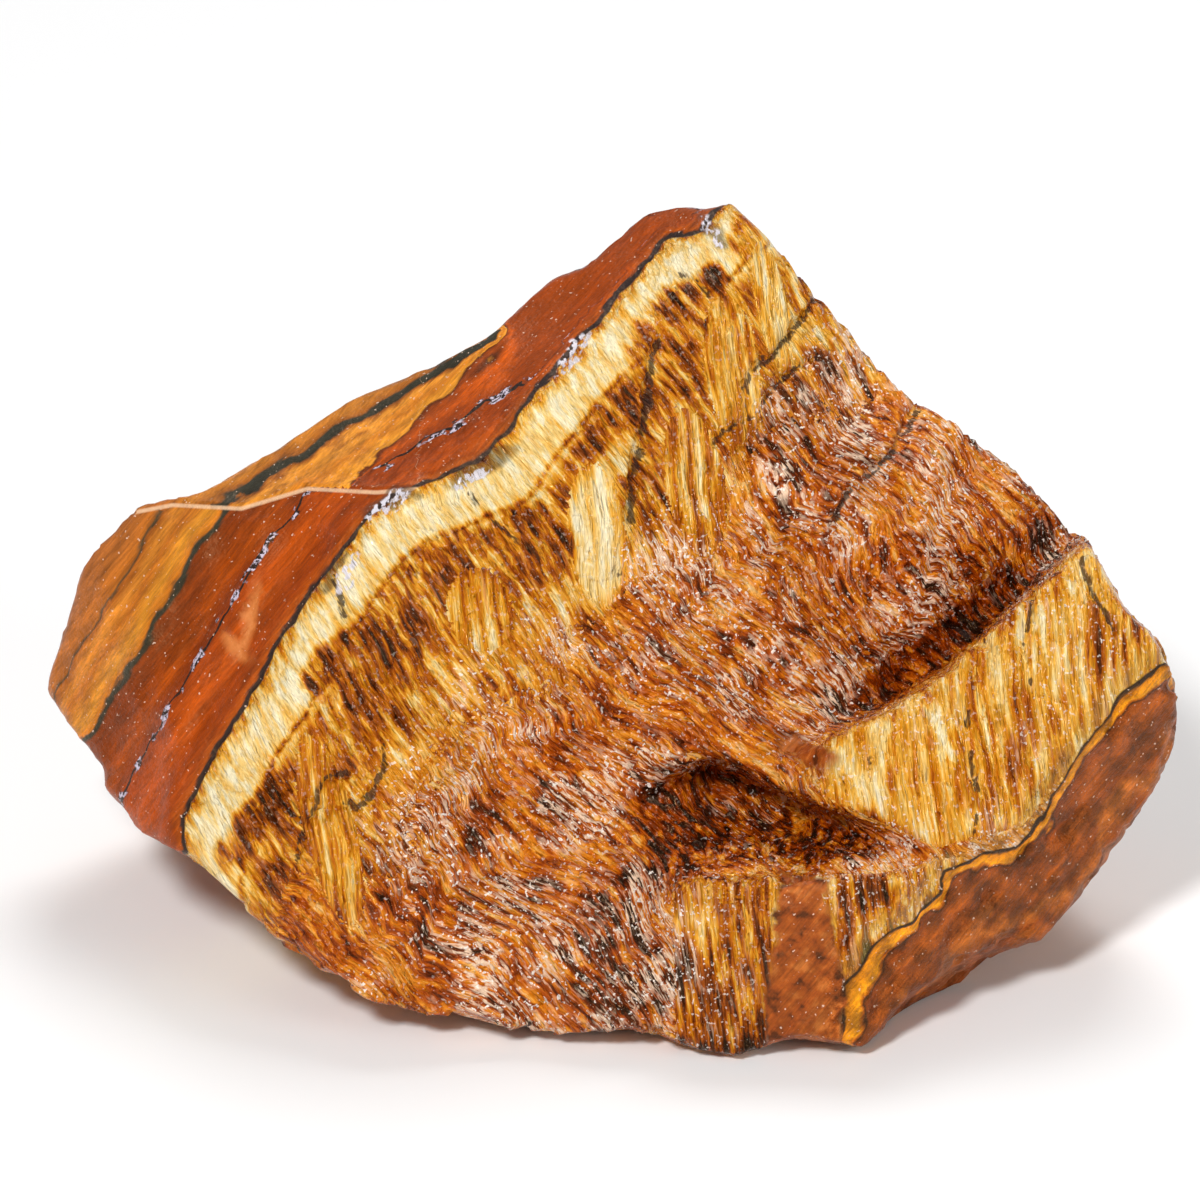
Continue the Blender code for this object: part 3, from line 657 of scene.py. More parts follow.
@dataclass
class SplinterRelief:
    """The fine relief of the broken fibres and of the jasper, in millimetres along the normal."""

    layers: Layers

    def run(self, way: FibreRun) -> np.ndarray:
        """Return places along and beside the fibres of one run.

        Args:
            way: The run of the fibres.

        Returns:
            Rows of along, beside and out.
        """
        across, up, out = self.layers.seen.T
        slant, sway, shortness = way.value
        turn = math.radians(slant)
        along = across * math.cos(turn) + up * math.sin(turn)
        beside = -across * math.sin(turn) + up * math.cos(turn)
        # The fibres turn this way and that over about 8 mm, and bend in arcs about 7 mm long.
        bend = np.abs(np.sin(along / 2.4 + 3.4 * value_noise(self.layers.seen / 6.0, 65)))
        beside = beside + sway * value_noise(self.layers.seen / 7.0, 60) - 0.22 * sway * bend
        beside = beside + 0.10 * sway * value_noise(self.layers.seen / 2.2, 61)
        return np.column_stack([along * shortness, beside, out])

    def splinters(self, way: FibreRun, seed: int) -> np.ndarray:
        """Return the relief of fibres that broke off at uneven lengths.

        Args:
            way: The run of the fibres.
            seed: Which of the many reliefs to take.

        Returns:
            The height at each point.
        """
        places = self.run(way)
        bundle = value_noise(places / (9.0, 1.3, 9.0), seed)
        ladder = places[:, 0] / 2.6 + 2.2 * value_noise(places / (40.0, 1.0, 9.0), seed + 1)
        broken = 0.36 * (1.0 - (ladder - np.floor(ladder)))
        fine = value_noise(places / (3.0, 0.55, 3.0), seed + 2)
        return broken + 0.30 * bundle + 0.14 * fine

    def height(self) -> np.ndarray:
        """Return the relief's height at each point."""
        layers = self.layers
        upright = layers.upright_share()
        swept = layers.swept_share()
        slanted = np.clip(1.0 - upright - swept, 0.0, 1.0)
        fibres = slanted * self.splinters(FibreRun.SLANTED, 70)
        fibres = fibres + upright * self.splinters(FibreRun.UPRIGHT, 80)
        fibres = fibres + swept * 1.1 * self.splinters(FibreRun.SWEPT, 90)
        fibres = fibres + 0.50 * swept * value_noise(layers.seen / 3.6, 66) - 0.15
        # The pale fibres beside the upper contact broke more evenly, down to a line that splits them off.
        pale = smooth_step(0.2, 0.9, layers.depth) * smooth_step(5.2, 4.6, layers.depth)
        fibres = fibres * (1.0 - 0.45 * pale)
        groove = 0.50 * layers.crack_share()
        line = 0.25 * smooth_step(0.35, 0.0, np.abs(layers.depth - 4.7)) * layers.front
        # The jasper has grit, pits and ledges, the lower wall far more of the first two.
        grit = 0.05 * value_noise(layers.seen / 0.9, 62) + 0.07 * value_noise(layers.seen / 1.9, 63)
        lower_wall = np.maximum(smooth_step(0.0, 1.0, layers.lower_bed), layers.overlay_share())
        pits = smooth_step(0.15, 0.70, value_noise(layers.seen / 1.7, 64)) * 0.34
        ledges = 0.16 * (layers.upper_bed / 1.7 - np.floor(layers.upper_bed / 1.7)) * layers.front
        chips = -0.45 * layers.patch_share(CHIP_PATCHES, 0.2)
        lip = 0.55 * np.exp(-np.abs(layers.lip_side) / 0.7) * layers.front
        jasper = grit * (1.0 + 1.8 * lower_wall) - pits * (0.25 + 1.3 * lower_wall)
        jasper = jasper + (ledges + lip) * (1.0 - lower_wall) + chips
        contact = 0.20 * smooth_step(0.5, 0.0, np.abs(layers.upper_bed)) * layers.front
        share = layers.fibre_share()
        return share * (fibres - groove - line) + (1.0 - share) * jasper - contact


@dataclass
class RoughStone:
    """The stone's visible surface, made on a finer copy of its solid.

    The longest edges that its mesh keeps are given in millimetres for each kind of place.
    """

    face: LeaningFace = field(default_factory=LeaningFace)
    fibre_edge: float = 0.51
    back_edge: float = 0.95
    jasper_edge: float = 1.05
    rough_wall_edge: float = 0.72
    passes: int = 6

    def layers_of(self, mesh: bpy.types.Mesh) -> Layers:
        """Return the layers at a mesh's vertices.

        Args:
            mesh: The mesh to measure.

        Returns:
            Its vertices' layers.
        """
        places = read_rows(mesh.vertices, "co", 3, 3)
        normals = read_rows(mesh.vertices, "normal", 3, 3)
        return Layers(self.face.seen(places), self.face.facing(normals))

    @staticmethod
    def welded(source: bpy.types.Mesh) -> bpy.types.Mesh:
        """Return a copy of a triangle mesh whose neighbouring faces share their vertices.

        Args:
            source: The mesh to copy, which may have vertices of its own for each face.

        Returns:
            The new mesh.
        """
        places = read_rows(source.vertices, "co", 3, 3)
        corners = read_rows(source.loops, "vertex_index", 1, 3)
        kept, shared = np.unique(places.round(7), axis=0, return_inverse=True)
        mesh = bpy.data.meshes.new("stone_surface")
        mesh.from_pydata(kept.tolist(), [], shared.ravel()[corners].tolist())
        return mesh

    def split_long_edges(self, mesh: bpy.types.Mesh) -> int:
        """Halve every edge that is too long for what lies on it.

        Args:
            mesh: The mesh to refine.

        Returns:
            How many edges were halved.
        """
        layers = self.layers_of(mesh)
        fibre = layers.fibre_share()
        limit = np.where(layers.front > 0.4, self.fibre_edge, self.back_edge)
        limit = np.where(fibre > 0.3, limit, self.jasper_edge)
        limit = np.where(np.abs(layers.lip_side) < 1.2, self.fibre_edge, limit)
        rough_wall = (layers.lower_bed > 0.0) & (layers.front > 0.4)
        limit = np.where(rough_wall, self.rough_wall_edge, limit)
        ends = read_rows(mesh.edges, "vertices", 2, 2)
        places = read_rows(mesh.vertices, "co", 3, 3)
        length = np.linalg.norm(places[ends[:, 0]] - places[ends[:, 1]], axis=1) / MM
        on_base = (places[ends[:, 0], 2] < 1e-6) & (places[ends[:, 1], 2] < 1e-6)
        wanted = np.minimum(limit[ends[:, 0]], limit[ends[:, 1]])
        wanted = np.where(on_base, 2.0 * self.jasper_edge, wanted)
        chosen = np.flatnonzero(length > wanted)
        middles = np.full(len(ends), -1)
        middles[chosen] = len(places) + np.arange(len(chosen))
        places = np.vstack([places, places[ends[chosen]].mean(axis=1)])
        corners = read_rows(mesh.loops, "vertex_index", 1, 3)
        sides = read_rows(mesh.loops, "edge_index", 1, 3)
        triangles = cut_triangles(places, corners, middles[sides])
        mesh.clear_geometry()
        mesh.from_pydata(places.tolist(), [], triangles.tolist())
        return len(chosen)

    def relax(self, mesh: bpy.types.Mesh, rounds: int = 9) -> None:
        """Round off the solid's facets, and leave the base as it is.

        Args:
            mesh: The mesh to relax.
            rounds: How many times each vertex moves toward its neighbours.
        """
        count = len(mesh.vertices)
        places = read_rows(mesh.vertices, "co", 3, 3)
        first, second = read_rows(mesh.edges, "vertices", 2, 2).T
        neighbours = np.bincount(first, minlength=count) + np.bincount(second, minlength=count)
        share = self.layers_of(mesh).fibre_share()
        pull = np.where(places[:, 2] < 1e-6, 0.0, 0.06 + 0.40 * share)[:, None]
        for _ in range(rounds):
            total = np.column_stack([
                np.bincount(first, places[second, axis], count)
                + np.bincount(second, places[first, axis], count)
                for axis in range(3)
            ])
            places = places + pull * (total / neighbours[:, None] - places)
        mesh.vertices.foreach_set("co", places.ravel())
        mesh.update()

    @staticmethod
    def drop_slivers(mesh: bpy.types.Mesh) -> None:
        """Merge vertices that lie closer than a hundredth of a millimetre, and drop faces without area.

        Args:
            mesh: The mesh to clean.
        """
        work = bmesh.new()
        work.from_mesh(mesh)
        bmesh.ops.dissolve_degenerate(work, edges=work.edges, dist=0.01 * MM)
        bmesh.ops.triangulate(work, faces=[piece for piece in work.faces if len(piece.verts) > 3])
        work.to_mesh(mesh)
        work.free()

    def raise_relief(self, mesh: bpy.types.Mesh) -> None:
        """Move the vertices by the fine relief, and keep them above the base.

        Args:
            mesh: The mesh to shape.
        """
        places = read_rows(mesh.vertices, "co", 3, 3)
        normals = read_rows(mesh.vertices, "normal", 3, 3)
        height = SplinterRelief(self.layers_of(mesh)).height()
        height = height * smooth_step(0.0, 0.8, places[:, 2] / MM)
        places = places + normals * height[:, None] * MM
        places[:, 2] = np.maximum(places[:, 2], 0.0)
        mesh.vertices.foreach_set("co", places.ravel())
        mesh.update()

    def note_layers(self, mesh: bpy.types.Mesh) -> None:
        """Store on the mesh what its material needs to know at each vertex.

        Args:
            mesh: The mesh to mark.
        """
        layers = self.layers_of(mesh)
        relief = SplinterRelief(layers)
        notes = {
            "upper_bed": layers.upper_bed,
            "lower_bed": layers.lower_bed,
            "top_break": layers.top_break,
            "lip_side": layers.lip_side + LIP_FAR * (1.0 - layers.front),
            "overlay": layers.overlay_share(),
            "quartz": layers.patch_share(QUARTZ_PATCHES, 0.5),
            "dark_contact": layers.patch_share(CONTACT_PATCHES, 0.6),
            "chips": layers.patch_share(CHIP_PATCHES, 0.2),
            "fibre_tone": layers.fibre_tone(),
            "upright": layers.upright_share(),
            "swept": layers.swept_share(),
            "flakes": layers.flake_and_sheen_share(),
            "crack": layers.crack_share(),
        }
        for name, values in notes.items():
            mesh.attributes.new(name, "FLOAT", "POINT").data.foreach_set("value", values.astype(np.float32))
        places = {"seen": layers.seen} | {way.name.lower() + "_run": relief.run(way) for way in FibreRun}
        for name, rows in places.items():
            note = mesh.attributes.new(name, "FLOAT_VECTOR", "POINT")
            note.data.foreach_set("vector", rows.astype(np.float32).ravel())

    def build(self) -> bpy.types.Object:
        """Return the finished surface as an object."""
        mesh = self.welded(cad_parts[NODE].data)
        for _ in range(self.passes):
            if self.split_long_edges(mesh) == 0:
                break
        self.relax(mesh)
        self.raise_relief(mesh)
        self.drop_slivers(mesh)
        self.note_layers(mesh)
        mesh.shade_smooth()
        stone = bpy.data.objects.new("stone_surface", mesh)
        bpy.context.scene.collection.objects.link(stone)
        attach(stone, "root")
        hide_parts(NODE)
        LOG.info("stone_surface: %d triangles", len(mesh.polygons))
        return stone


@dataclass(frozen=True)
class NodeTree:
    """A material's nodes."""

    tree: bpy.types.NodeTree

    def add(self, kind: str, inputs: dict | None = None, **settings: object) -> bpy.types.Node:
        """Add a node with its settings, values and links.

        Args:
            kind: The node's type name without its first part, which all shader nodes share.
            inputs: Values, sockets or nodes by the input's name or number. A node stands for its first
                output.
            **settings: The node's own properties. Stops are the places and sRGB colours of a colour ramp.

        Returns:
            The new node.
        """
        node = self.tree.nodes.new("ShaderNode" + kind)
        for number, (place, colour) in enumerate(settings.pop("stops", ())):
            elements = node.color_ramp.elements
            element = elements[number] if number < 2 else elements.new(place)
            element.position = place
            element.color = linear(colour)
        for name, value in settings.items():
            setattr(node, name, value)
        for name, source in (inputs or {}).items():
            if isinstance(source, bpy.types.Node):
                source = next(socket for socket in source.outputs if socket.enabled)
            if isinstance(source, bpy.types.NodeSocket):
                self.tree.links.new(source, node.inputs[name])
            else:
                node.inputs[name].default_value = source
        return node


@dataclass(frozen=True)
class TigersEyeFinish:
    """Freshly broken tiger's eye and jasper, never polished.

    The fibre breaks as glassy splinters, so it glints in points and short strokes; the jasper breaks with a
    satin, shell-like surface. The fibres under the quartz give the light back golden, so the gloss is warm.

    The colour stops of the walls are placed by their depth in the wall, in millimetres, as are the vein and
    its half widths. Those of the fibres are placed by tone, and those of the thin jasper by its mottles.
    """

    quartz_ior: float = 1.544
    gloss_tint: str = "#FFCB96"
    fibre_roughness: float = 0.18
    jasper_roughness: float = 0.44
    grain_height: float = 0.3 * MM
    vein_depth: float = 5.0
    hairline_half: float = 0.08
    lens_half: float = 0.26
    fibre_stops: tuple[tuple[float, str], ...] = (
        (0.00, "#FDF0C8"), (0.14, "#F6D283"), (0.28, "#EFAE3C"), (0.42, "#D98A12"), (0.56, "#BC6203"),
        (0.70, "#923F00"), (0.84, "#571F00"), (1.00, "#180802"),
    )
    front_wall_stops: tuple[tuple[float, str], ...] = (
        (0.0, "#241C20"), (0.25, "#2A2022"), (0.4, "#AC4A04"), (1.0, "#963802"), (3.4, "#B84A02"),
        (4.6, "#A03C02"), (5.3, "#8C3400"), (6.4, "#A64400"), (7.8, "#843200"), (9.1, "#7C3004"),
        (9.3, "#2A2C22"), (9.6, "#34352A"), (9.8, "#C87018"), (10.6, "#E09028"), (11.8, "#C06A1C"),
        (12.6, "#D8842A"), (13.4, "#A85818"), (13.55, "#3A3C2C"), (13.8, "#B8661E"), (16.0, "#B0642C"),
    )
    # The thin dark stop at 7.0 mm of the upper break is painted shade along the step where the gold bed
    # stands proud.
    top_wall_stops: tuple[tuple[float, str], ...] = (
        (0.0, "#241C20"), (0.25, "#2A2022"), (0.4, "#AC4A04"), (1.0, "#923800"), (3.0, "#AE4602"),
        (4.4, "#923600"), (5.5, "#9A3C00"), (6.1, "#CC5400"), (7.0, "#5E2608"), (7.2, "#F09C2C"),
        (8.2, "#D27A1C"), (8.9, "#E89430"), (9.3, "#A45A1C"), (9.5, "#2C2E26"), (10.1, "#34362C"),
        (10.3, "#A85E1C"), (11.2, "#D0802A"), (12.4, "#B4601E"), (14.0, "#CC7A2C"), (16.0, "#B0682C"),
    )
    lower_wall_stops: tuple[tuple[float, str], ...] = (
        (0.0, "#241A16"), (0.12, "#3A2414"), (0.3, "#D87E08"), (1.3, "#F09A10"), (1.7, "#B85C08"),
        (1.95, "#3C1C0A"), (2.3, "#8A3C0C"), (3.4, "#A04C12"), (4.8, "#7E380C"), (6.0, "#B05E20"),
        (7.5, "#843A0A"), (9.0, "#A85418"), (12.0, "#8E420E"),
    )
    overlay_stops: tuple[tuple[float, str], ...] = (
        (0.36, "#4E1E08"), (0.44, "#8A3C10"), (0.54, "#9E4A14"), (0.66, "#BC682A"),
    )

    def material(self) -> bpy.types.Material:
        """Return the node material of the whole stone."""
        material = bpy.data.materials.new("broken_tigers_eye_and_jasper")
        material.use_nodes = True
        material.node_tree.nodes.clear()
        nodes = NodeTree(material.node_tree)
        note: Sockets = {
            name: nodes.add("Attribute", attribute_name=name).outputs["Fac"]
            for name in (
                "upper_bed", "lower_bed", "top_break", "lip_side", "overlay", "quartz", "dark_contact",
                "chips", "fibre_tone", "upright", "swept", "flakes", "crack",
            )
        }
        seen = nodes.add("Attribute", attribute_name="seen").outputs["Vector"]
        sparkle = nodes.add("TexNoise", {"Vector": seen, "Scale": 3.0, "Detail": 1.0})
        strokes = self.strokes(nodes, note, sparkle)
        fibre = self.fibre_colour(nodes, note, strokes, sparkle)
        wall, grain = self.wall_colour(nodes, seen, note, sparkle)
        walls = nodes.add("Math", {0: note["upper_bed"], 1: note["lower_bed"]}, operation="MAXIMUM")
        walls = nodes.add("MapRange", {"Value": walls, "From Min": -0.16, "From Max": -0.04})
        walls = nodes.add("Math", {0: walls, 1: note["overlay"]}, operation="MAXIMUM")
        colour = nodes.add("Mix", {"Factor": walls, "A": fibre, "B": wall}, data_type="RGBA")
        colour = self.contact_colour(nodes, seen, note, colour)
        gloss = {"Factor": walls, "A": self.fibre_roughness, "B": self.jasper_roughness}
        roughness = nodes.add("Mix", gloss)
        # Strokes and flakes up to 0.3 mm high on the fibres, and a fine grit on the jasper.
        relief = nodes.add("Mix", {"Factor": walls, "A": strokes["relief"], "B": grain})
        bump = nodes.add("Bump", {"Strength": 1.0, "Distance": self.grain_height, "Height": relief})
        shader = nodes.add(
            "BsdfPrincipled",
            {
                "Base Color": colour, "Roughness": roughness, "IOR": self.quartz_ior, "Metallic": 0.0,
                "Specular Tint": linear(self.gloss_tint), "Normal": bump,
            },
        )
        nodes.add("OutputMaterial", {"Surface": shader})
        return material

    def strokes(self, nodes: NodeTree, note: Sockets, sparkle: bpy.types.Node) -> Sockets:
        """Make the strokes and flakes of the fibres, which follow their run.

        Args:
            nodes: The material's nodes.
            note: What the mesh stores at each vertex.
            sparkle: Fine points, which fray the border between two runs.

        Returns:
            Soft and crisp strokes from 0 to 1, two random numbers for each flake, and the fine relief.
        """
        run = nodes.add("Attribute", attribute_name="slanted_run").outputs["Vector"]
        frayed = nodes.add("Math", {0: sparkle, 1: 0.8, 2: -0.9}, operation="MULTIPLY_ADD")
        for way in ("swept", "upright"):
            share = nodes.add("Math", {0: note[way], 1: frayed}, operation="ADD")
            chosen = nodes.add("Math", {0: share, 1: 0.0}, operation="GREATER_THAN")
            other = nodes.add("Attribute", attribute_name=way + "_run").outputs["Vector"]
            run = nodes.add("Mix", {"Factor": chosen, "A": run, "B": other}, data_type="VECTOR")
        # Features per millimetre along, beside and into the fibres: soft strokes of about 4 by 0.7 mm,
        # crisp ones of 1.2 by 0.25 mm, and flakes of about 1.3 by 0.5 mm where splinters broke off.
        strokes = {}
        for name, per_mm in (("soft", (0.25, 1.5, 0.7)), ("crisp", (0.85, 3.8, 1.5))):
            places = nodes.add("VectorMath", {0: run, 1: per_mm}, operation="MULTIPLY")
            values = {"Vector": places, "Scale": 1.0, "Detail": 2.0, "Roughness": 0.6}
            pattern = nodes.add("TexNoise", values)
            stroke = nodes.add("MapRange", {"Value": pattern, "From Min": 0.30, "From Max": 0.70})
            strokes[name] = stroke.outputs[0]
        places = nodes.add("VectorMath", {0: run, 1: (0.75, 1.9, 1.0)}, operation="MULTIPLY")
        flake = nodes.add("TexVoronoi", {"Vector": places, "Scale": 1.0})
        chance = nodes.add("SeparateXYZ", {"Vector": flake.outputs["Color"]})
        relief = nodes.add("Math", {0: flake, 1: -0.4, 2: strokes["crisp"]}, operation="MULTIPLY_ADD")
        others = {"tone": chance.outputs["X"], "pick": chance.outputs["Y"], "relief": relief.outputs[0]}
        return strokes | others

    def fibre_colour(
        self, nodes: NodeTree, note: Sockets, strokes: Sockets, sparkle: bpy.types.Node
    ) -> bpy.types.Node:
        """Colour the fibres by their tone, their strokes, their pale flakes with painted sheen, painted
        glints and their cracks.

        Args:
            nodes: The material's nodes.
            note: What the mesh stores at each vertex.
            strokes: The strokes and flakes.
            sparkle: Fine points.

        Returns:
            The fibres' colour.
        """
        # The pale fibres are more even than the amber ones.
        swing = nodes.add("Math", {0: strokes["soft"], 1: 0.76, 2: -0.38}, operation="MULTIPLY_ADD")
        swing = nodes.add("Math", {0: strokes["tone"], 1: 0.26, 2: swing}, operation="MULTIPLY_ADD")
        swing = nodes.add("Math", {0: swing, 1: 0.13}, operation="SUBTRACT")
        reach = nodes.add("MapRange", {"Value": note["fibre_tone"], "From Max": 0.55, "To Min": 0.25})
        tone = nodes.add("Math", {0: swing, 1: reach, 2: note["fibre_tone"]}, operation="MULTIPLY_ADD")
        colour = nodes.add("ValToRGB", {0: tone}, stops=self.fibre_stops)
        # The swept fibres are redder than the others.
        redder = nodes.add("MapRange", {"Value": note["swept"], "To Max": 0.8})
        tinted = {"Factor": redder, "A": colour, "B": linear("#FFD4A8")}
        colour = nodes.add("Mix", tinted, data_type="RGBA", blend_type="MULTIPLY")
        # Dark gaps between the splinters: darker fibre streaks, with painted shade in the gaps.
        gap = nodes.add("MapRange", {"Value": strokes["crisp"], "From Min": 0.32, "From Max": 0.04})
        bounds = {"From Min": 0.1, "From Max": 0.6, "To Min": 0.08, "To Max": 0.66}
        deep = nodes.add("MapRange", {"Value": note["fibre_tone"]} | bounds)
        gap = nodes.add("Math", {0: gap, 1: deep}, operation="MULTIPLY")
        # Pale flakes: pale splinters, and painted sheen and highlights where they would catch the light.
        picked = {0: strokes["pick"], 1: 0.5, 2: note["flakes"]}
        chance = nodes.add("Math", picked, operation="MULTIPLY_ADD")
        pale = nodes.add("MapRange", {"Value": chance, "From Min": 0.50, "From Max": 1.15})
        stroke = nodes.add("MapRange", {"Value": strokes["crisp"], "From Min": 0.44, "From Max": 0.70})
        pale = nodes.add("Math", {0: pale, 1: stroke}, operation="MULTIPLY")
        # Painted glints: white points of about 0.3 mm, as broken quartz would throw back.
        points = nodes.add("MapRange", {"Value": sparkle, "From Min": 0.63, "From Max": 0.68})
        some = nodes.add("MapRange", {"Value": note["flakes"], "From Max": 0.4, "To Max": 0.9})
        points = nodes.add("Math", {0: points, 1: some}, operation="MULTIPLY")
        # An olive grey strip beside the lower contact.
        bounds = {"From Min": -1.7, "From Max": -0.9, "To Max": 0.6}
        strip = nodes.add("MapRange", {"Value": note["lower_bed"]} | bounds)
        strip = nodes.add("Math", {0: strip, 1: strokes["soft"]}, operation="MULTIPLY")
        # Cracks about 0.3 mm wide, with ragged edges.
        frayed = {0: strokes["crisp"], 1: 0.5, 2: note["crack"]}
        ragged = nodes.add("Math", frayed, operation="MULTIPLY_ADD")
        crack = nodes.add("MapRange", {"Value": ragged, "From Min": 0.85, "From Max": 1.05, "To Max": 0.85})
        for share, laid in (
            (gap, "#4E1E02"), (pale, "#F6D3B4"), (points, "#FFF4EA"), (strip, "#8E7B45"),
            (crack, "#2F2220"),
        ):
            colour = nodes.add("Mix", {"Factor": share, "A": colour, "B": linear(laid)}, data_type="RGBA")
        return colour

    def wall_patterns(self, nodes: NodeTree, seen: bpy.types.NodeSocket) -> Nodes:
        """Make the patterns of the jasper.

        Args:
            nodes: The material's nodes.
            seen: Places on the face, in millimetres.

        Returns:
            Beds, grain lines, mottles and grit, each from 0 to 1.
        """
        turned = nodes.add("VectorRotate", {"Vector": seen, "Angle": -SEAM_SLANT}, rotation_type="Z_AXIS")
        patterns = {}
        # Features per millimetre: beds about 0.7 mm thick, grain lines of 0.15 mm along them, mottles of
        # 2 mm, and grit of 0.4 mm, which is coarser than the real one so that it shows.
        for name, places, per_mm in (
            ("beds", turned, (0.10, 1.5, 0.6)), ("lines", turned, (0.45, 6.5, 2.0)),
            ("mottle", seen, (0.5, 0.5, 0.5)), ("grit", seen, (2.6, 2.6, 2.6)),
        ):
            scaled = nodes.add("VectorMath", {0: places, 1: per_mm}, operation="MULTIPLY")
            values = {"Vector": scaled, "Scale": 1.0, "Detail": 3.0, "Roughness": 0.6}
            patterns[name] = nodes.add("TexNoise", values)
        return patterns

    def bed_colour(
        self, nodes: NodeTree, seen: bpy.types.NodeSocket, note: Sockets, patterns: Nodes,
        lower: bpy.types.Node,
    ) -> bpy.types.Node:
        """Colour the jasper by its beds, with finer lines and mottles in them.

        Args:
            nodes: The material's nodes.
            seen: Places on the face, in millimetres.
            note: What the mesh stores at each vertex.
            patterns: The patterns of the jasper.
            lower: 1 on the lower wall.

        Returns:
            The jasper's colour.
        """
        # The orange bed beside the lower contact pinches out here and there.
        pinch = nodes.add("TexNoise", {"Vector": seen, "Scale": 0.16, "Detail": 2.0})
        pinch = nodes.add("MapRange", {"Value": pinch, "From Min": 0.44, "From Max": 0.56, "To Max": 1.5})
        inside = nodes.add("MapRange", {"Value": note["lower_bed"], "From Min": 0.1, "From Max": 0.6})
        pinch = nodes.add("Math", {0: pinch, 1: inside}, operation="MULTIPLY")
        pinched = nodes.add("Math", {0: note["lower_bed"], 1: pinch}, operation="ADD")
        waver = nodes.add("Math", {0: patterns["beds"], 1: 0.9, 2: -0.45}, operation="MULTIPLY_ADD")
        painted = []
        for depth, stops in (
            (note["upper_bed"], self.front_wall_stops), (note["upper_bed"], self.top_wall_stops),
            (pinched, self.lower_wall_stops),
        ):
            reach = stops[-1][0]
            bed = nodes.add("Math", {0: waver, 1: depth}, operation="ADD")
            place = nodes.add("Math", {0: bed, 1: reach}, operation="DIVIDE")
            shares = tuple((stop / reach, paint) for stop, paint in stops)
            painted.append(nodes.add("ValToRGB", {0: place}, stops=shares))
        painted.append(nodes.add("ValToRGB", {0: patterns["mottle"]}, stops=self.overlay_stops))
        colour = painted[0]
        for share, other in zip((note["top_break"], lower, note["overlay"]), painted[1:]):
            colour = nodes.add("Mix", {"Factor": share, "A": colour, "B": other}, data_type="RGBA")
        shades = {}
        for name, low, high, start, end in (
            ("beds", 0.3, 0.7, 1.30, 0.66), ("lines", 0.3, 0.7, 0.72, 1.22),
            ("mottle", 0.38, 0.62, 0.55, 1.35),
        ):
            bounds = {"From Min": low, "From Max": high, "To Min": start, "To Max": end}
            shades[name] = nodes.add("MapRange", {"Value": patterns[name]} | bounds)
        # The lower wall is more mottled than the upper one.
        spots = nodes.add("Mix", {"Factor": lower, "A": 1.0, "B": shades["mottle"]})
        shade = nodes.add("Math", {0: shades["beds"], 1: shades["lines"]}, operation="MULTIPLY")
        shade = nodes.add("Math", {0: shade, 1: spots}, operation="MULTIPLY")
        return nodes.add("VectorMath", {0: colour, "Scale": shade}, operation="SCALE")

    def vein_colour(
        self, nodes: NodeTree, seen: bpy.types.NodeSocket, note: Sockets, colour: bpy.types.Node,
        grit: bpy.types.Node,
    ) -> bpy.types.Node:
        """Lay the quartz vein of the upper wall over the jasper's colour.

        Args:
            nodes: The material's nodes.
            seen: Places on the face, in millimetres.
            note: What the mesh stores at each vertex.
            colour: The jasper's colour.
            grit: The pattern of its grains.

        Returns:
            The colour with the vein.
        """
        # The vein is a hairline gap that opens into lenses of quartz grains, whose pale beads are partly
        # painted glints.
        lens = nodes.add("TexNoise", {"Vector": seen, "Scale": 0.55, "Detail": 2.0})
        lens = nodes.add("MapRange", {"Value": lens, "From Min": 0.50, "From Max": 0.56})
        on_vein = {0: note["upper_bed"], 1: self.vein_depth}
        hairline = nodes.add("Math", on_vein | {2: self.hairline_half}, operation="COMPARE")
        wide = nodes.add("Math", on_vein | {2: self.lens_half}, operation="COMPARE")
        wide = nodes.add("Math", {0: wide, 1: lens}, operation="MULTIPLY")
        dark = nodes.add("Math", {0: hairline, 1: wide}, operation="MAXIMUM")
        quartz_bead_glints = nodes.add("MapRange", {"Value": grit, "From Min": 0.48, "From Max": 0.54})
        quartz_bead_glints = nodes.add("Math", {0: wide, 1: quartz_bead_glints}, operation="MULTIPLY")
        for share, laid in ((dark, "#1C1518"), (quartz_bead_glints, "#CFC4D6")):
            colour = nodes.add("Mix", {"Factor": share, "A": colour, "B": linear(laid)}, data_type="RGBA")
        return colour

    def wall_colour(
        self, nodes: NodeTree, seen: bpy.types.NodeSocket, note: Sockets, sparkle: bpy.types.Node
    ) -> tuple[bpy.types.Node, bpy.types.Node]:
        """Colour the jasper walls, with their vein and chips, painted glints and a painted highlight along
        the lip.

        Args:
            nodes: The material's nodes.
            seen: Places on the face, in millimetres.
            note: What the mesh stores at each vertex.
            sparkle: Fine points.

        Returns:
            The walls' colour and their fine relief.
        """
        patterns = self.wall_patterns(nodes, seen)
        lower = nodes.add("MapRange", {"Value": note["lower_bed"], "From Min": -1.5, "From Max": -1.0})
        colour = self.bed_colour(nodes, seen, note, patterns, lower)
        colour = self.vein_colour(nodes, seen, note, colour, patterns["grit"])
        # Painted glints: fine pale points on the jasper.
        bounds = {"From Min": 0.71, "From Max": 0.76, "To Max": 0.7}
        points = nodes.add("MapRange", {"Value": sparkle} | bounds)
        # A painted highlight along the sharp lip between the upper break and the front left one.
        away = nodes.add("Math", {0: note["lip_side"]}, operation="ABSOLUTE")
        lip = nodes.add("MapRange", {"Value": away, "From Min": 0.22, "From Max": 0.08, "To Max": 0.75})
        for share, laid in ((note["chips"], "#D07A3C"), (points, "#F0D2BC"), (lip, "#F2C8A0")):
            colour = nodes.add("Mix", {"Factor": share, "A": colour, "B": linear(laid)}, data_type="RGBA")
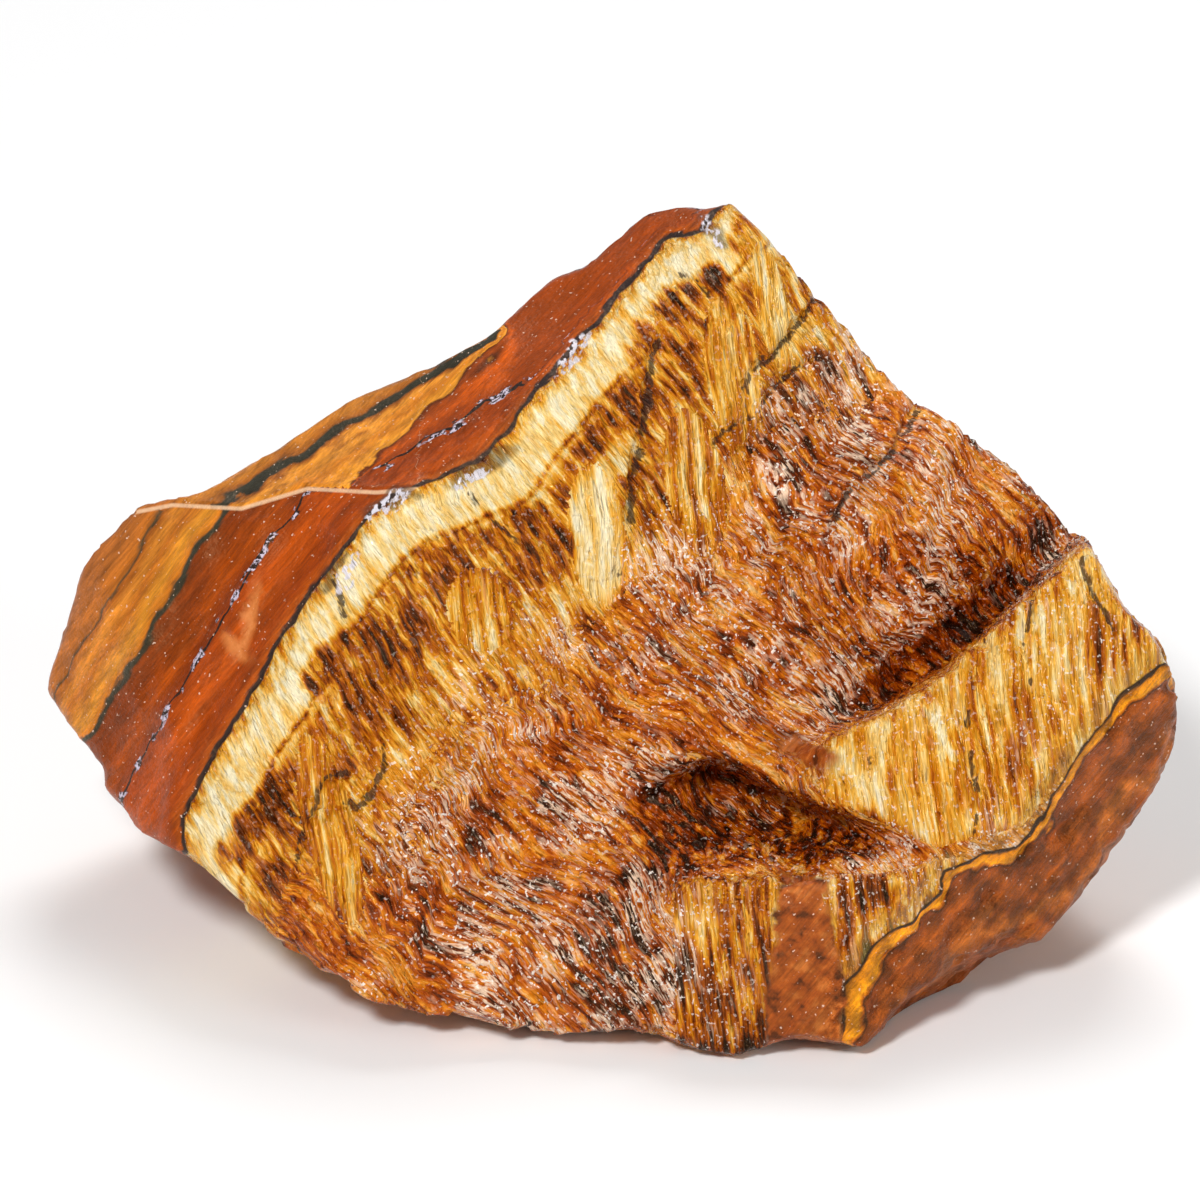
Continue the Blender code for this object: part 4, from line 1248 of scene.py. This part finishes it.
        # The upper wall broke smooth, the lower one rough.
        summed = {0: patterns["lines"], 1: 0.6, 2: patterns["grit"]}
        relief = nodes.add("Math", summed, operation="MULTIPLY_ADD")
        rough = nodes.add("MapRange", {"Value": lower, "To Min": 0.35})
        relief = nodes.add("Math", {0: relief, 1: rough}, operation="MULTIPLY")
        return colour, relief

    def contact_colour(
        self, nodes: NodeTree, seen: bpy.types.NodeSocket, note: Sockets, colour: bpy.types.Node
    ) -> bpy.types.Node:
        """Lay the dark widenings and the silver quartz of the contact, partly painted glints, over the
        stone's colour.

        Args:
            nodes: The material's nodes.
            seen: Places on the face, in millimetres.
            note: What the mesh stores at each vertex.
            colour: The colour so far.

        Returns:
            The finished colour.
        """
        bounds = {"From Min": 0.2, "From Max": 0.9, "To Max": 0.65}
        dark = nodes.add("MapRange", {"Value": note["dark_contact"]} | bounds)
        colour = nodes.add("Mix", {"Factor": dark, "A": colour, "B": linear("#2C2628")}, data_type="RGBA")
        # Quartz grains of about 0.4 mm, drawn out along the fibres: pale quartz, partly painted glints.
        grains = nodes.add("VectorMath", {0: seen, 1: (2.6, 1.6, 1.0)}, operation="MULTIPLY")
        grains = nodes.add("TexNoise", {"Vector": grains, "Scale": 1.0, "Detail": 3.0})
        glints = nodes.add("MapRange", {"Value": grains, "From Min": 0.48, "From Max": 0.56, "To Max": 0.9})
        share = nodes.add("MapRange", {"Value": note["quartz"], "From Min": 0.2, "From Max": 0.6})
        quartz_and_glints = nodes.add("Math", {0: share, 1: glints}, operation="MULTIPLY")
        return nodes.add("Mix", {"Factor": quartz_and_glints, "A": colour, "B": linear("#E9E4EE")}, data_type="RGBA")


@dataclass(frozen=True)
class SoftLight:
    """One large soft lamp of the studio."""

    name: str
    place: tuple[float, float, float]
    size: float
    power: float

    def hang(self, target: Vector) -> bpy.types.Object:
        """Hang the lamp and turn it to the stone.

        Args:
            target: Where it points.

        Returns:
            The lamp's object.
        """
        lamp = bpy.data.lights.new(self.name, "AREA")
        lamp.shape = "SQUARE"
        lamp.size = self.size
        lamp.energy = self.power
        thing = bpy.data.objects.new(self.name, lamp)
        thing.location = self.place
        thing.rotation_euler = (target - thing.location).to_track_quat("-Z", "Y").to_euler()
        bpy.context.scene.collection.objects.link(thing)
        return thing


@dataclass
class Studio:
    """A pale table, soft lamps and a long lens, as for a catalogue picture."""

    lamps: tuple[SoftLight, ...] = (
        SoftLight("key", (-0.22, -0.60, 0.62), 0.14, 5.8),
        SoftLight("fill", (0.60, -0.45, 0.35), 0.40, 1.6),
        SoftLight("back", (0.10, 0.45, 0.70), 0.40, 3.4),
    )
    lens_mm: float = 300.0
    sensor_mm: float = 36.0
    table_size: float = 6.0
    table_gap: float = 0.4 * MM
    room_glow: float = 0.20

    def table(self) -> bpy.types.Object:
        """Return a wide, pale, matte table top under the stone."""
        bpy.ops.mesh.primitive_plane_add(size=self.table_size, location=(0.0, 0.0, -self.table_gap))
        table = bpy.context.active_object
        table.name = "table"
        material = bpy.data.materials.new("white_matte_paper")
        material.use_nodes = True
        shader = material.node_tree.nodes["Principled BSDF"]
        shader.inputs["Base Color"].default_value = linear("#F7F7F7")
        shader.inputs["Roughness"].default_value = 0.9
        table.data.materials.append(material)
        return table

    def light(self) -> None:
        """Hang the lamps and set the pale surroundings."""
        middle = Vector(STAND) * MM
        for lamp in self.lamps:
            lamp.hang(middle)
        world = bpy.data.worlds.new("white_room")
        world.use_nodes = True
        background = world.node_tree.nodes["Background"]
        background.inputs["Color"].default_value = linear("#FFFFFF")
        background.inputs["Strength"].default_value = self.room_glow
        bpy.context.scene.world = world
        bpy.context.scene.view_settings.view_transform = "Standard"

    def aim(self) -> None:
        """Set the camera square to the leaning face."""
        camera = bpy.data.cameras.new("camera")
        camera.lens = self.lens_mm
        camera.sensor_width = self.sensor_mm
        camera.clip_start = 0.01
        camera.dof.use_dof = False
        thing = bpy.data.objects.new("camera", camera)
        toward = Vector((0.0, -math.cos(LEAN), math.sin(LEAN)))
        thing.location = Vector(STAND) * MM + toward * VIEW_DISTANCE * MM
        thing.rotation_euler = (-toward).to_track_quat("-Z", "Y").to_euler()
        bpy.context.scene.collection.objects.link(thing)
        bpy.context.scene.camera = thing


def main() -> None:
    """Build the stone, dress it and light it."""
    logging.basicConfig(level=logging.INFO, format="%(message)s")
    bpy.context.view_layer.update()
    stone = RoughStone().build()
    stone.data.materials.append(TigersEyeFinish().material())
    LOG.info("finish: broken tiger's eye and jasper")
    studio = Studio()
    studio.table()
    studio.light()
    studio.aim()
    LOG.info("studio: %d lamps", len(studio.lamps))


if __name__ == "__main__":
    main()
